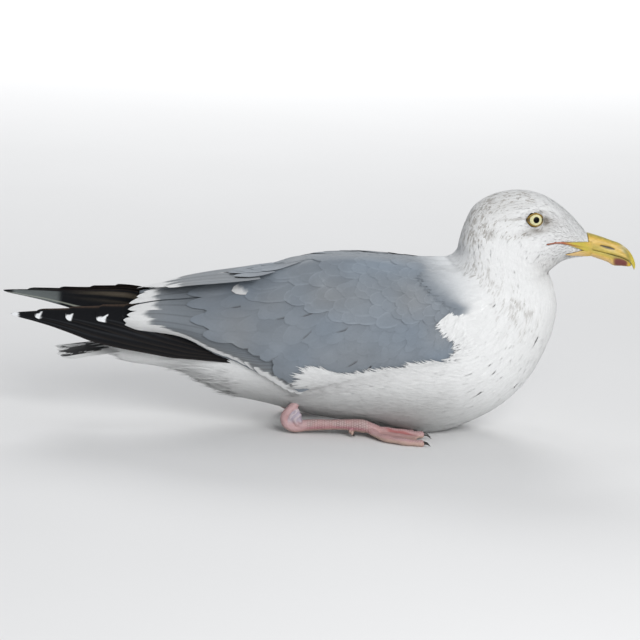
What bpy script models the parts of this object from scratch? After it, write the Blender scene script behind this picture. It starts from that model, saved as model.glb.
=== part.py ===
"""A life-size herring gull, resting on its belly with its feet flat beside it.

The bird faces +X, its right side is -Y and the floor is z = 0. Lengths in the tables
below are in millimetres, and MM turns them into the metres that Blender works in.
"""

from math import cos, pi, radians, sin

import bmesh
import bpy
import numpy as np

MM = 0.001
GAP = 0.3  # clearance between neighbouring solids
SHIFT_X = 0.65  # moves the middle of the whole length, bill tip to wing tip, onto x = 0
SIDES = {"right": -1.0, "left": 1.0}

# --- Body: head, neck and trunk are one loft ---------------------------------------------
# Each section is a plane through a point of the back and one of the underside.
# Columns: back x, back z, underside x, underside z, half-width, share by which it is
# wider below than above.
BODY_SECTIONS = np.array(
    (
        (-205.0, 69.5, -206.0, 60.5, 9.0, 0.00),  # tips of the tail coverts
        (-174.0, 79.0, -173.5, 53.8, 19.0, 0.00),
        (-133.2, 93.0, -131.6, 48.0, 29.0, 0.02),
        (-97.3, 113.5, -87.6, 28.7, 41.0, 0.06),  # rump and vent
        (-61.5, 136.8, -47.5, 20.4, 52.0, 0.10),
        (-21.0, 154.9, -5.4, 11.2, 60.0, 0.12),
        (20.1, 160.9, 46.0, 3.9, 64.0, 0.12),  # middle of the back
        (56.9, 160.2, 102.1, -3.4, 65.0, 0.10),  # where the belly meets the floor
        (84.7, 158.8, 152.7, 14.4, 62.0, 0.08),
        (105.9, 159.2, 188.4, 43.6, 57.0, 0.05),
        (116.9, 161.0, 209.5, 82.3, 50.0, 0.02),  # front of the breast
        (122.6, 167.1, 216.8, 115.7, 42.0, 0.00),  # root of the neck
        (124.4, 176.5, 212.1, 139.1, 34.0, 0.00),
        (128.2, 191.6, 207.8, 149.8, 28.5, 0.00),  # nape and throat
        (136.5, 209.1, 211.6, 155.5, 24.5, 0.00),
        (155.2, 220.9, 218.8, 160.0, 22.5, 0.00),
        (178.9, 224.9, 226.9, 163.2, 21.5, 0.00),  # crown, through the eyes
        (201.3, 220.1, 234.3, 164.6, 18.5, 0.00),
        (222.5, 206.4, 239.8, 165.4, 13.5, 0.00),  # forehead and chin
        (241.2, 187.6, 244.4, 166.4, 9.0, 0.00),  # edge of the feathers round the bill
    )
)
LAST_SECTION = len(BODY_SECTIONS) - 1
NECK_CUT, HEAD_CUT = 11.0, 13.6  # where the neck starts and ends, counted in sections
BELLY_FLAT = 0.5  # what hangs lower than this is pressed flat on the floor
BODY_ROUNDNESS = 2.2  # exponent of the superellipse: 2 is an ellipse
BODY_SIDES = 24
TRUNK_RINGS, NECK_RINGS, HEAD_RINGS = 21, 6, 13

# --- Eyes --------------------------------------------------------------------------------
EYE_CENTRE = (190.0, 17.2, 200.9)
EYE_RADII = (7.6, 5.8, 7.6)  # along, out of and up the head
EYE_TURN_FORWARD = 12.0  # degrees
EYE_SIDES, EYE_RINGS = 12, 8

# --- Bill: upper edge x and z, lower edge x and z, half-width ------------------------------
UPPER_MANDIBLE = np.array(
    (
        (241.55, 187.6, 243.6, 173.9, 8.4),
        (252.8, 184.7, 251.5, 171.9, 7.4),
        (264.8, 180.8, 260.5, 170.0, 6.4),
        (272.3, 178.4, 269.4, 167.8, 5.7),
        (279.5, 173.6, 276.8, 165.1, 4.6),
        (284.6, 167.6, 281.7, 162.3, 3.4),
        (287.6, 161.0, 284.8, 158.6, 2.3),
        (288.2, 156.6, 286.6, 155.4, 1.2),
        (287.6, 154.1, 287.0, 153.9, 0.4),  # point of the hook
    )
)
LOWER_MANDIBLE = np.array(
    (
        (243.7, 173.4, 244.8, 166.2, 7.8),
        (252.0, 171.3, 253.8, 163.4, 6.6),
        (260.5, 169.4, 262.1, 160.6, 5.6),
        (267.2, 167.7, 267.9, 157.6, 5.0),  # the gonys
        (275.5, 164.8, 275.5, 157.4, 3.9),
        (280.6, 161.4, 281.3, 157.2, 2.2),
        (282.4, 159.6, 282.8, 158.3, 0.7),
    )
)

BILL_ARCH = 0.75  # exponent of the arched section: below 1 it is fuller than a half circle
BILL_SIDES, UPPER_RINGS, LOWER_RINGS = 9, 15, 11

# --- Folded wing, a curved plate over the trunk --------------------------------------------
# Columns: x, then outward distance and z of its lower edge, its middle and its upper edge.
WING_SECTIONS = np.array(
    (
        (127.0, 60.5, 85.0, 58.0, 102.0, 51.0, 122.0),  # bend of the wing
        (118.0, 64.0, 77.0, 63.5, 104.0, 47.0, 134.0),
        (105.0, 66.6, 73.5, 66.8, 108.0, 38.0, 145.0),
        (85.0, 67.8, 70.0, 69.2, 110.0, 31.0, 152.5),
        (60.0, 67.8, 64.0, 70.8, 110.0, 27.0, 156.8),
        (30.0, 67.2, 57.0, 70.8, 108.0, 24.0, 158.4),
        (0.0, 65.6, 50.0, 69.2, 105.0, 22.0, 156.4),
        (-25.0, 62.2, 45.5, 66.6, 101.0, 19.0, 151.4),
        (-57.0, 56.5, 57.0, 60.8, 100.0, 14.0, 142.0),
        (-80.0, 52.0, 68.0, 55.4, 100.0, 11.5, 137.0),
        (-100.0, 48.5, 75.0, 50.8, 102.0, 10.0, 133.5),
        (-125.0, 43.0, 86.0, 44.4, 106.0, 9.0, 129.0),
        (-150.0, 37.0, 91.0, 37.8, 108.0, 9.0, 123.0),
        (-170.0, 32.0, 91.5, 31.8, 106.0, 11.0, 117.0),
        (-184.0, 27.5, 95.0, 26.5, 104.0, 14.5, 110.0),
    )
)
WING_FRONT, TERTIAL_CUT, TERTIAL_TIP = 127.0, -112.0, -180.5
TERTIALS = 3
TERTIAL_STEP = 1.0  # how far each tertial stands over the next
WING_PROUD = 1.0  # thickness of the top layer of feathers over the table's outline
WING_THICK_FRONT, WING_THICK_REAR, WING_EDGE = 12.0, 3.2, 1.4
WING_THICK_FROM, WING_THICK_TO = 10.0, -60.0  # x between which the plate thins
TERTIAL_ROUNDING = 5.0  # how far the edges of a tertial fall short of its tip
LEFT_WING_RISE = 3.0  # the left wing is carried a little higher
LEFT_WING_FROM, LEFT_WING_TO = -20.0, -110.0  # x between which it rises
WING_ROWS, WING_COLUMNS, TERTIAL_ROWS, TERTIAL_COLUMNS, CUTTER_ROWS = 14, 9, 6, 13, 24

# --- Primaries, a stack of blades under the tertials ---------------------------------------
PRIMARY_TIPS = (-281.0, -257.0, -229.0, -201.0)
PRIMARY_ROOT, PRIMARY_STATION = -70.0, 26.0  # the blades share their stations
PRIMARY_THICK, PRIMARY_STEP = 1.9, 1.1
PRIMARY_TIP_SHARE = 0.06  # the last part of each blade, which is rounded off
PRIMARY_TIP_PLACES = (0.94, 0.975, 0.99, 1.0)  # sections of that part, as shares of the length
PRIMARY_TIP_HALF = 0.35  # half-width at the very tip
# Columns: x, then outward distance and z of the lower edge and of the upper edge. The
# stack leans in like a roof.
PRIMARY_COURSE = np.array(
    (
        (-60.0, 50.0, 60.0, 34.0, 86.0),
        (-104.0, 44.0, 66.5, 24.0, 92.0),
        (-165.0, 38.0, 72.0, 14.0, 101.0),
        (-211.0, 35.5, 82.2, 11.0, 104.5),
        (-258.0, 30.0, 93.0, 15.0, 105.3),
        (-281.0, 25.5, 97.2, 20.5, 102.2),
        (-292.0, 24.5, 99.5, 21.5, 102.0),
    )
)
PRIMARY_INSET = 2.2  # how far each shorter blade is set in from the stack's lower edge
PRIMARY_INSET_TOP = 0.6  # and from its upper edge and its root
TIP_RISE, TIP_REACH = {"right": 0.0, "left": 12.5}, {"right": 0.0, "left": 8.5}
TIP_RISE_FROM, TIP_RISE_TO = -90.0, -180.0  # x between which the stack rises

# --- Tail ----------------------------------------------------------------------------------
TAIL_ROOT, TAIL_TIP = -165.0, -243.5
TAIL_ROOT_Z, TAIL_TIP_Z = 76.0, 64.5
TAIL_ROOT_HALF, TAIL_TIP_HALF = 23.0, 30.0
TAIL_THICK_ROOT, TAIL_THICK_TIP = 5.0, 1.6
TAIL_ROOT_CROWN, TAIL_TIP_CROWN = 9.0, 4.0  # how far the middle stands above the edges
TAIL_FEATHERS, TAIL_ROWS = 8, 5
TAIL_SCALLOP = 2.5  # depth of the notches between feathers
TAIL_ROUNDING = 7.0  # how far the outer feathers fall short of the middle ones

# --- Legs and feet --------------------------------------------------------------------------
THIGH_TOP, HEEL, ANKLE = (-15.0, 37.0, 36.0), (-28.0, 42.0, 7.4), (38.0, 48.5, 5.6)
THIGH_RADIUS, SHIN_RADIUS, HEEL_RADIUS = 11.0, 7.0, 8.2
# The heel is a knob: set back, narrower than it is deep, and cut off small at its ends.
HEEL_BACK, HEEL_NARROW, HEEL_END = 1.0, 0.8, 0.14
TARSUS_HALF_WIDTH, TARSUS_HALF_DEPTH = 4.0, 5.8
TARSUS_FLARE_WIDTH, TARSUS_FLARE_DEPTH = 1.2, 0.7  # added at both of its ends
LEG_SIDES, TOE_SIDES = 12, 8
# Sections of the foot before the toes: distance from the ankle, half-width, half-depth.
KNUCKLE = np.array(
    ((0.0, 5.0, 5.6), (3.0, 6.2, 5.4), (7.0, 6.4, 4.6), (12.0, 4.0, 2.8))
)
FOOT_CENTRE = (44.5, 49.2)
# Each front toe: x and outward distance of its tip, and the radius at its root.
TOES = {"inner": (86.0, 38.0, 3.6), "middle": (94.0, 53.0, 4.1), "outer": (90.0, 77.0, 3.8)}
TOE_TIP_RADIUS = 2.5
TOE_JOINTS, TOE_JOINT_SWELL, TOE_FLATTER = 3, 0.35, 0.9
TOE_ROOT_Z, TOE_TIP_Z = 3.6, 1.9
WEB_THICK, WEB_LIFT = 1.4, 0.4
WEB_SWEEP = 0.12  # the web's front edge is drawn in by this share
WEB_FROM, WEB_TO = 0.06, 0.95  # where the web starts and ends along the toes
WEB_ROOT_THICKER = 0.8
WEB_ROWS, WEB_COLUMNS = 6, 17
HIND_TOE_RADII = (2.6, 2.4, 2.1, 1.7)
HIND_TOE = ((43.5, 54.6, 3.4), (34.5, 58.6, 2.0))
CLAW_LENGTH, CLAW_RADIUS = 8.0, 1.7
HIND_CLAW_LENGTH, HIND_CLAW_RADIUS = 3.0, 1.1
CLAW_TAPER = np.array((1.0, 0.75, 0.12))  # radius at its root, middle and point
CLAW_NARROW, CLAW_TIP_Z, CLAW_CLEAR = 0.8, 0.6, 0.3  # width share, height of point and belly

# --- Materials: colour, roughness ------------------------------------------------------------
FINISHES = {
    "white_plumage": ((0.78, 0.78, 0.77), 0.8),
    "grey_plumage": ((0.22, 0.25, 0.29), 0.75),
    "black_plumage": ((0.012, 0.012, 0.013), 0.6),
    "bill_horn": ((0.60, 0.41, 0.09), 0.4),
    "eye_yellow": ((0.66, 0.62, 0.30), 0.1),
    "pink_skin": ((0.62, 0.36, 0.33), 0.55),
    "dark_claw": ((0.03, 0.025, 0.022), 0.4),
}


def clear_scene():
    for obj in list(bpy.data.objects):
        bpy.data.objects.remove(obj, do_unlink=True)


def make_collection(name):
    collection = bpy.data.collections.new(name)
    bpy.context.scene.collection.children.link(collection)
    return collection


def make_material(name):
    colour, roughness = FINISHES[name]
    material = bpy.data.materials.new(name)
    material.use_nodes = True
    shader = material.node_tree.nodes["Principled BSDF"]
    shader.inputs["Base Color"].default_value = (*colour, 1.0)
    shader.inputs["Roughness"].default_value = roughness
    shader.inputs["Metallic"].default_value = 0.0
    return material


clear_scene()
GULL = make_collection("herring_gull")
CUTTERS = make_collection("cutters")
MATERIALS = {name: make_material(name) for name in FINISHES}


def add_object(name, verts_mm, faces, finish=None):
    """A closed mesh object. Without a finish it is a hidden helper for Booleans."""
    mesh = bpy.data.meshes.new(name)
    points = np.asarray(verts_mm, float).reshape(-1, 3) + (SHIFT_X, 0.0, 0.0)
    mesh.from_pydata((points * MM).tolist(), [], faces)
    shape = bmesh.new()
    shape.from_mesh(mesh)
    bmesh.ops.triangulate(shape, faces=shape.faces)
    bmesh.ops.recalc_face_normals(shape, faces=shape.faces)
    shape.to_mesh(mesh)
    shape.free()
    mesh.shade_smooth()
    obj = bpy.data.objects.new(name, mesh)
    if finish is None:
        obj.hide_render = True
        obj.display_type = "WIRE"
        CUTTERS.objects.link(obj)
    else:
        mesh.materials.append(MATERIALS[finish])
        GULL.objects.link(obj)
    return obj


def boolean(obj, operation, other):
    modifier = obj.modifiers.new(f"{operation.lower()} {other.name}", "BOOLEAN")
    modifier.operation = operation
    modifier.solver = "EXACT"
    modifier.object = other


def join(obj, others):
    """One Boolean union of an object with a collection of helpers."""
    group = bpy.data.collections.new(f"joined_to_{obj.name}")
    CUTTERS.children.link(group)
    for other in others:
        CUTTERS.objects.unlink(other)
        group.objects.link(other)
    modifier = obj.modifiers.new("join", "BOOLEAN")
    modifier.operation = "UNION"
    modifier.solver = "EXACT"
    modifier.operand_type = "COLLECTION"
    modifier.collection = group


def spline(table, place):
    """Catmull-Rom curve through the rows of a table, at row numbers that may be fractions."""
    place = np.atleast_1d(np.asarray(place, float))
    first, last = 2 * table[0] - table[1], 2 * table[-1] - table[-2]
    rows = np.vstack([first, table, last])
    start = np.clip(np.floor(place).astype(int), 0, len(table) - 2)
    f = (place - start)[:, None]
    a, b, c, d = rows[start], rows[start + 1], rows[start + 2], rows[start + 3]
    bend = (2 * a - 5 * b + 4 * c - d) * f**2 + (3 * b - a - 3 * c + d) * f**3
    return 0.5 * (2 * b + (c - a) * f + bend)


def at_x(table, x):
    """The rows of a table that starts with x, interpolated at the given x."""
    column = table[:, 0]
    order = np.argsort(column)
    place = np.interp(x, column[order], np.arange(len(column))[order])
    return spline(table, place)[:, 1:]


def loft(name, rings, finish=None):
    """A solid through closed rings with the same number of points, capped at both ends."""
    rings = np.asarray(rings, float)
    count, around = rings.shape[:2]
    faces = [tuple(range(around))[::-1], tuple(range((count - 1) * around, count * around))]
    for i in range(count - 1):
        for j in range(around):
            k = (j + 1) % around
            low, high = i * around, (i + 1) * around
            faces.append((low + j, low + k, high + k, high + j))
    return add_object(name, rings, faces, finish)


def plate(name, outer, inner, finish=None):
    """A solid between two grids of points, closed round their rims."""
    rows, columns = outer.shape[:2]
    inner_ring = [np.vstack([outer[i], inner[i][::-1]]) for i in range(rows)]
    return loft(name, inner_ring, finish)


def power(value, exponent):
    """A power that keeps the sign."""
    return np.sign(value) * np.abs(value) ** exponent


def smooth_step(value):
    """Eases from 0 to 1 as the value does, and stays level outside them."""
    value = np.clip(value, 0.0, 1.0)
    return value**2 * (3 - 2 * value)


# --- Body ------------------------------------------------------------------------------------


def body_ring(place, grow=0.0, slide=0.0):
    """The section at a place along the body: a superellipse between back and underside,
    grown outwards and slid along its own normal by so many millimetres, and pressed flat
    where it reaches the floor."""
    row = spline(BODY_SECTIONS, place)[0]
    back, under = row[0:2], row[2:4]
    middle, half = (back + under) / 2, (back - under) / 2
    depth = np.hypot(*half)
    half = half * (depth + grow) / depth
    normal = np.array((half[1], -half[0])) / np.hypot(*half)
    angle = np.linspace(0.0, 2 * pi, BODY_SIDES, endpoint=False)
    up = power(np.cos(angle), 2 / BODY_ROUNDNESS)
    out = power(np.sin(angle), 2 / BODY_ROUNDNESS) * (1 - row[5] * up)
    ring = np.zeros((BODY_SIDES, 3))
    ring[:, 0] = middle[0] + half[0] * up + normal[0] * slide
    ring[:, 1] = (row[4] + grow) * out
    height = middle[1] + half[1] * up + normal[1] * slide
    ring[:, 2] = np.where(height < BELLY_FLAT - grow, -grow, height)
    return ring


def make_body():
    """Trunk, neck and head, each a length of the body whose cut ends are moved in by half
    the gap, and a cutter that is the whole body grown by the gap."""
    spans = {
        "trunk": np.linspace(0.0, NECK_CUT, TRUNK_RINGS),
        "neck": np.linspace(NECK_CUT, HEAD_CUT, NECK_RINGS),
        "head": np.linspace(HEAD_CUT, LAST_SECTION, HEAD_RINGS),
    }
    pieces = {}
    for name, places in spans.items():
        slides = np.zeros(len(places))
        slides[0] = GAP / 2 if places[0] > 0 else 0.0
        slides[-1] = -GAP / 2 if places[-1] < LAST_SECTION else 0.0
        rings = [body_ring(place, slide=slide) for place, slide in zip(places, slides)]
        pieces[name] = loft(name, rings, "white_plumage")
    places = np.unique(np.concatenate(list(spans.values())))
    clearance = loft("body_clearance", [body_ring(place, grow=GAP) for place in places])
    return pieces["head"], clearance


# --- Eyes ------------------------------------------------------------------------------------


def ellipsoid(name, centre, radii, turn, finish=None):
    """A ball stretched along the three axes and turned about the vertical, in degrees."""
    shape = bmesh.new()
    bmesh.ops.create_uvsphere(shape, u_segments=EYE_SIDES, v_segments=EYE_RINGS, radius=1.0)
    points = np.array([v.co[:] for v in shape.verts])
    faces = [tuple(v.index for v in face.verts) for face in shape.faces]
    shape.free()
    # The poles of the ball point out of the head, so that they fall on the pupil.
    points = points[:, [0, 2, 1]] * radii
    c, s = cos(radians(turn)), sin(radians(turn))
    turned = np.column_stack(
        [points[:, 0] * c - points[:, 1] * s, points[:, 0] * s + points[:, 1] * c, points[:, 2]]
    )
    return add_object(name, turned + centre, faces, finish)


def make_eyes(head):
    for side, sign in SIDES.items():
        centre = np.array(EYE_CENTRE) * (1, sign, 1)
        turn = -sign * EYE_TURN_FORWARD
        ellipsoid(f"eye_{side}", centre, EYE_RADII, turn, "eye_yellow")
        socket = ellipsoid(f"socket_{side}", centre, np.array(EYE_RADII) + GAP, turn)
        boolean(head, "DIFFERENCE", socket)


# --- Bill ------------------------------------------------------------------------------------


def mandible(name, table, keel, steps):
    """A horn with an arched cross-section: full at its cutting edge and rounded to a ridge
    on the other side. keel is 1 where the ridge is the first edge of the table, else -1."""
    angle = np.linspace(0.0, pi, BILL_SIDES)
    across = -np.cos(angle)
    towards_ridge = np.sin(angle) ** BILL_ARCH
    rings = []
    for row in spline(table, np.linspace(0, len(table) - 1, steps)):
        first, second = row[0:2], row[2:4]
        ridge, edge = (first, second) if keel > 0 else (second, first)
        ring = np.zeros((len(angle), 3))
        ring[:, [0, 2]] = edge + np.outer(towards_ridge, ridge - edge)
        ring[:, 1] = row[4] * across
        rings.append(ring)
    return loft(name, rings, "bill_horn")


def make_bill():
    mandible("bill_upper", UPPER_MANDIBLE, 1, UPPER_RINGS)
    mandible("bill_lower", LOWER_MANDIBLE, -1, LOWER_RINGS)


# --- Wings -----------------------------------------------------------------------------------


def wing_point(x, share, side):
    """Outer surface of the folded wing: a parabola through the lower edge, middle and upper
    edge of the section at x. Returns points and outward normals in the y-z plane."""
    low, mid, top = np.split(at_x(WING_SECTIONS, x), 3, axis=1)
    pull = 2 * mid - (low + top) / 2
    s = share[:, None]
    flat = (1 - s) ** 2 * low + 2 * s * (1 - s) * pull + s**2 * top
    slope = 2 * (1 - s) * (pull - low) + 2 * s * (top - pull)
    normal = np.column_stack([slope[:, 1], -slope[:, 0]])
    normal /= np.linalg.norm(normal, axis=1, keepdims=True)
    if side == "left":
        rise = (x - LEFT_WING_FROM) / (LEFT_WING_TO - LEFT_WING_FROM)
        flat[:, 1] += LEFT_WING_RISE * smooth_step(rise)
    return flat, normal


def wing_grids(xs, shares, side, grow=0.0, lift=0.0):
    """Outer and inner grids of the plate, over arrays of x and of the share from the lower
    to the upper edge. lift raises the outer grid, and grow makes the plate fatter."""
    outer, inner = [], []
    for x_row, share_row, lift_row in zip(xs, shares, np.broadcast_to(lift, xs.shape)):
        flat, normal = wing_point(x_row, share_row, side)
        fall = np.clip((x_row - WING_THICK_TO) / (WING_THICK_FROM - WING_THICK_TO), 0.0, 1.0)
        thick = WING_THICK_REAR + (WING_THICK_FRONT - WING_THICK_REAR) * fall[:, None]
        middle = np.sqrt(np.clip(4 * share_row * (1 - share_row), 0, 1))[:, None]
        depth = WING_EDGE + (thick - WING_EDGE) * middle
        edge = np.where(share_row == 1.0, 1.0, 0.0) - np.where(share_row == 0.0, 1.0, 0.0)
        along = np.column_stack([-normal[:, 1], normal[:, 0]]) * edge[:, None] * grow
        top = flat + normal * (WING_PROUD + lift_row[:, None] + grow) + along
        low = flat - normal * (depth + grow) + along
        for grid, points in ((outer, top), (inner, low)):
            grid.append(np.column_stack([x_row, SIDES[side] * points[:, 0], points[:, 1]]))
    return np.array(outer), np.array(inner)


def make_wing(side, clearance):
    """The coverts and scapulars, the tertials behind them, and a cutter for what they
    cover."""
    share = np.linspace(0.0, 1.0, WING_COLUMNS)
    front_x = np.linspace(WING_FRONT, TERTIAL_CUT + GAP / 2, WING_ROWS)
    xs, shares = np.meshgrid(front_x, share, indexing="ij")
    wing = plate(f"wing_{side}", *wing_grids(xs, shares, side), "grey_plumage")
    boolean(wing, "DIFFERENCE", clearance)

    # The tertials: three rounded tips side by side, each swelling up over its own length.
    share = np.linspace(0.0, 1.0, TERTIAL_COLUMNS)
    feather = (share * TERTIALS) % 1.0
    feather[-1] = 1.0
    tip = TERTIAL_TIP + TERTIAL_ROUNDING * (2 * feather - 1) ** 2
    along = np.sqrt(np.linspace(0.0, 1.0, TERTIAL_ROWS))[:, None]
    cut = TERTIAL_CUT - GAP / 2
    xs = cut + along * (tip - cut)
    shares = np.broadcast_to(share, xs.shape)
    lift = TERTIAL_STEP * np.sin(pi * feather) * smooth_step(2 * along)
    tertials = plate(f"tertials_{side}", *wing_grids(xs, shares, side, lift=lift), "grey_plumage")
    boolean(tertials, "DIFFERENCE", clearance)

    share = np.linspace(0.0, 1.0, WING_COLUMNS)
    all_x = np.linspace(WING_FRONT + GAP, TERTIAL_TIP - 2.0, CUTTER_ROWS)
    xs, shares = np.meshgrid(all_x, share, indexing="ij")
    grids = wing_grids(xs, shares, side, grow=2 * GAP, lift=TERTIAL_STEP)
    return plate(f"wing_clearance_{side}", *grids)


# --- Primaries -------------------------------------------------------------------------------


def primary_blade(name, side, number, finish=None):
    """One long feather: flat, bluntly pointed, and curved with the stack it lies in."""
    tip = PRIMARY_TIPS[number] - TIP_REACH[side]
    length = tip - PRIMARY_ROOT
    ends = PRIMARY_ROOT + length * np.array(PRIMARY_TIP_PLACES)
    shared = np.arange(PRIMARY_ROOT, ends[0] + PRIMARY_STATION / 10, -PRIMARY_STATION)
    x = np.append(shared, ends)
    along = (x - PRIMARY_ROOT) / length
    x[0] += PRIMARY_INSET_TOP * number
    low, high = np.split(at_x(PRIMARY_COURSE, x), 2, axis=1)
    rise = smooth_step((x - TIP_RISE_FROM) / (TIP_RISE_TO - TIP_RISE_FROM))
    lift = np.column_stack([0 * x, TIP_RISE[side] * rise])
    low, high = low + lift, high + lift
    across = (high - low) / np.linalg.norm(high - low, axis=1, keepdims=True)
    outward = np.column_stack([across[:, 1], -across[:, 0]])
    low = low + PRIMARY_INSET * number * across
    high = high - PRIMARY_INSET_TOP * number * across
    close = np.clip((1 - along) / PRIMARY_TIP_SHARE, 0.0, 1.0)
    half = np.linalg.norm(high - low, axis=1) / 2 * np.sqrt(close * (2 - close))
    half = np.maximum(half, PRIMARY_TIP_HALF)
    wide = np.array((-1.0, 1.0, 1.0, -1.0))
    thick = PRIMARY_THICK / 2 * np.array((1.0, 1.0, -1.0, -1.0))
    middle = (len(PRIMARY_TIPS) - 1) / 2
    rings = []
    for i in range(len(x)):
        proud = PRIMARY_STEP * (number - middle) + thick
        section = (low[i] + high[i]) / 2 + np.outer(half[i] * wide, across[i])
        section = section + np.outer(proud, outward[i])
        ring = np.column_stack([np.full(4, x[i]), SIDES[side] * section[:, 0], section[:, 1]])
        rings.append(ring)
    return loft(name, rings, finish)


def make_primaries(side, clearance, wing_clearance):
    stack = primary_blade(f"primaries_{side}", side, 0, "black_plumage")
    numbers = range(1, len(PRIMARY_TIPS))
    join(stack, [primary_blade(f"primary_{side}_{number}", side, number) for number in numbers])
    boolean(stack, "DIFFERENCE", wing_clearance)
    boolean(stack, "DIFFERENCE", clearance)


# --- Tail ------------------------------------------------------------------------------------


def make_tail(clearance):
    """A closed fan: arched across, thinner towards the tip, with a scalloped rounded end."""
    across = np.linspace(-1.0, 1.0, 2 * TAIL_FEATHERS + 1)
    along = np.linspace(0.0, 1.0, TAIL_ROWS)[:, None]
    scallop = TAIL_SCALLOP * (np.arange(len(across)) % 2 == 0)
    tip = TAIL_TIP + TAIL_ROUNDING * across**2 + scallop
    x = TAIL_ROOT + along * (tip - TAIL_ROOT)
    half = TAIL_ROOT_HALF + (TAIL_TIP_HALF - TAIL_ROOT_HALF) * along
    y = half * across * (1 + 0 * along)
    crown = TAIL_ROOT_CROWN + (TAIL_TIP_CROWN - TAIL_ROOT_CROWN) * along
    height = TAIL_ROOT_Z + (TAIL_TIP_Z - TAIL_ROOT_Z) * along - crown * across**2
    thick = TAIL_THICK_ROOT + (TAIL_THICK_TIP - TAIL_THICK_ROOT) * along
    thick = thick * (1 - across**4 / 2)
    top = np.stack([x, y, height + thick / 2], axis=-1)
    under = np.stack([x, y, height - thick / 2], axis=-1)
    tail = plate("tail", top, under, "white_plumage")
    boolean(tail, "DIFFERENCE", clearance)


# --- Legs and feet ---------------------------------------------------------------------------


def tube_rings(points, half_widths, half_depths, around=LEG_SIDES, lowest=None):
    """Rings square to a path of points. Their width lies level, and they are flat where
    they would go under the lowest height, if one is given."""
    points = np.asarray(points, float)
    course = np.gradient(points, axis=0)
    course /= np.linalg.norm(course, axis=1, keepdims=True)
    angle = np.linspace(0.0, 2 * pi, around, endpoint=False) + pi / around
    rings = []
    for point, way, wide, deep in zip(points, course, half_widths, half_depths):
        level = np.cross(way, (0.0, 0.0, 1.0))
        level /= np.linalg.norm(level)
        upright = np.cross(level, way)
        across, up = wide * np.cos(angle), deep * np.sin(angle)
        ring = point + np.outer(across, level) + np.outer(up, upright)
        if lowest is not None:
            ring[:, 2] = np.maximum(ring[:, 2], lowest)
        rings.append(ring)
    return rings


def make_ground():
    """A cutter whose top is the floor, which leaves small flats under legs and feet. It
    reaches well past the feet on every side."""
    corners = [(x, y, z) for x in (-120, 200) for y in (-150, 150) for z in (-60, 0)]
    faces = [(0, 1, 3, 2), (4, 6, 7, 5), (0, 4, 5, 1), (2, 3, 7, 6), (0, 2, 6, 4), (1, 5, 7, 3)]
    return add_object("ground", corners, faces)


def mirrored(point, sign):
    return np.array((point[0], sign * point[1], point[2]))


def make_leg(side, clearance, ground):
    """The shin coming down out of the belly, the heel, and the tarsus flat on the floor."""
    sign = SIDES[side]
    heel, ankle = mirrored(HEEL, sign), mirrored(ANKLE, sign)
    share = np.linspace(0.0, 1.0, 6)
    ends = (2 * share - 1) ** 4
    wide = TARSUS_HALF_WIDTH + TARSUS_FLARE_WIDTH * ends
    deep = TARSUS_HALF_DEPTH + TARSUS_FLARE_DEPTH * ends
    rings = tube_rings(heel + share[:, None] * (ankle - heel), wide, deep)
    leg = loft(f"leg_{side}", rings, "pink_skin")

    share = np.linspace(0.0, 1.0, 4)
    path = mirrored(THIGH_TOP, sign) + share[:, None] * (heel - mirrored(THIGH_TOP, sign))
    radii = THIGH_RADIUS + (SHIN_RADIUS - THIGH_RADIUS) * share
    shin = loft(f"shin_{side}", tube_rings(path, radii, radii))

    share = np.linspace(-1.0, 1.0, 6)
    path = heel + HEEL_RADIUS * share[:, None] * (1.0, 0.0, 0.0) - (HEEL_BACK, 0.0, 0.0)
    radii = HEEL_RADIUS * np.sqrt(np.maximum(1 - share**2, HEEL_END**2))
    knob = loft(f"heel_{side}", tube_rings(path, radii * HEEL_NARROW, radii))
    join(leg, [shin, knob])
    boolean(leg, "DIFFERENCE", clearance)
    boolean(leg, "DIFFERENCE", ground)


def toe_path(name, sign):
    x, out, _ = TOES[name]
    start = np.array((FOOT_CENTRE[0], sign * FOOT_CENTRE[1], TOE_ROOT_Z))
    end = np.array((x, sign * out, TOE_TIP_Z))
    return start, end


def make_web(name, sign):
    """The skin between the three front toes: a thin sheet whose front edge is drawn in as
    an arc between each toe and the next."""
    ends = [toe_path(toe, sign) for toe in TOES]
    centre = ends[0][0]
    tips = np.array([end - centre for _, end in ends])
    across = np.linspace(0.0, len(TOES) - 1.0, WEB_COLUMNS)
    spread = np.column_stack([np.interp(across, range(len(TOES)), column) for column in tips.T])
    reach = WEB_TO * (1 - WEB_SWEEP * np.abs(np.sin(pi * across)))[:, None]
    along = np.linspace(WEB_FROM, 1.0, WEB_ROWS)[:, None, None]
    top = centre + along * (spread * reach)[None]
    top[..., 2] = WEB_LIFT + WEB_THICK + WEB_ROOT_THICKER * (1 - along[..., 0])
    under = top.copy()
    under[..., 2] = WEB_LIFT
    return plate(name, top, under)


def make_claw(name, root, way, length, radius):
    """A curved spike, drawn down towards the floor."""
    share = np.linspace(0.0, 1.0, len(CLAW_TAPER))[:, None]
    drop = np.array((0.0, 0.0, CLAW_TIP_Z - root[2]))
    path = root + share * length * np.asarray(way) + share**2 * drop
    radii = radius * CLAW_TAPER
    rings = tube_rings(path, radii * CLAW_NARROW, radii, TOE_SIDES, lowest=CLAW_CLEAR)
    loft(name, rings, "dark_claw")


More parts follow.
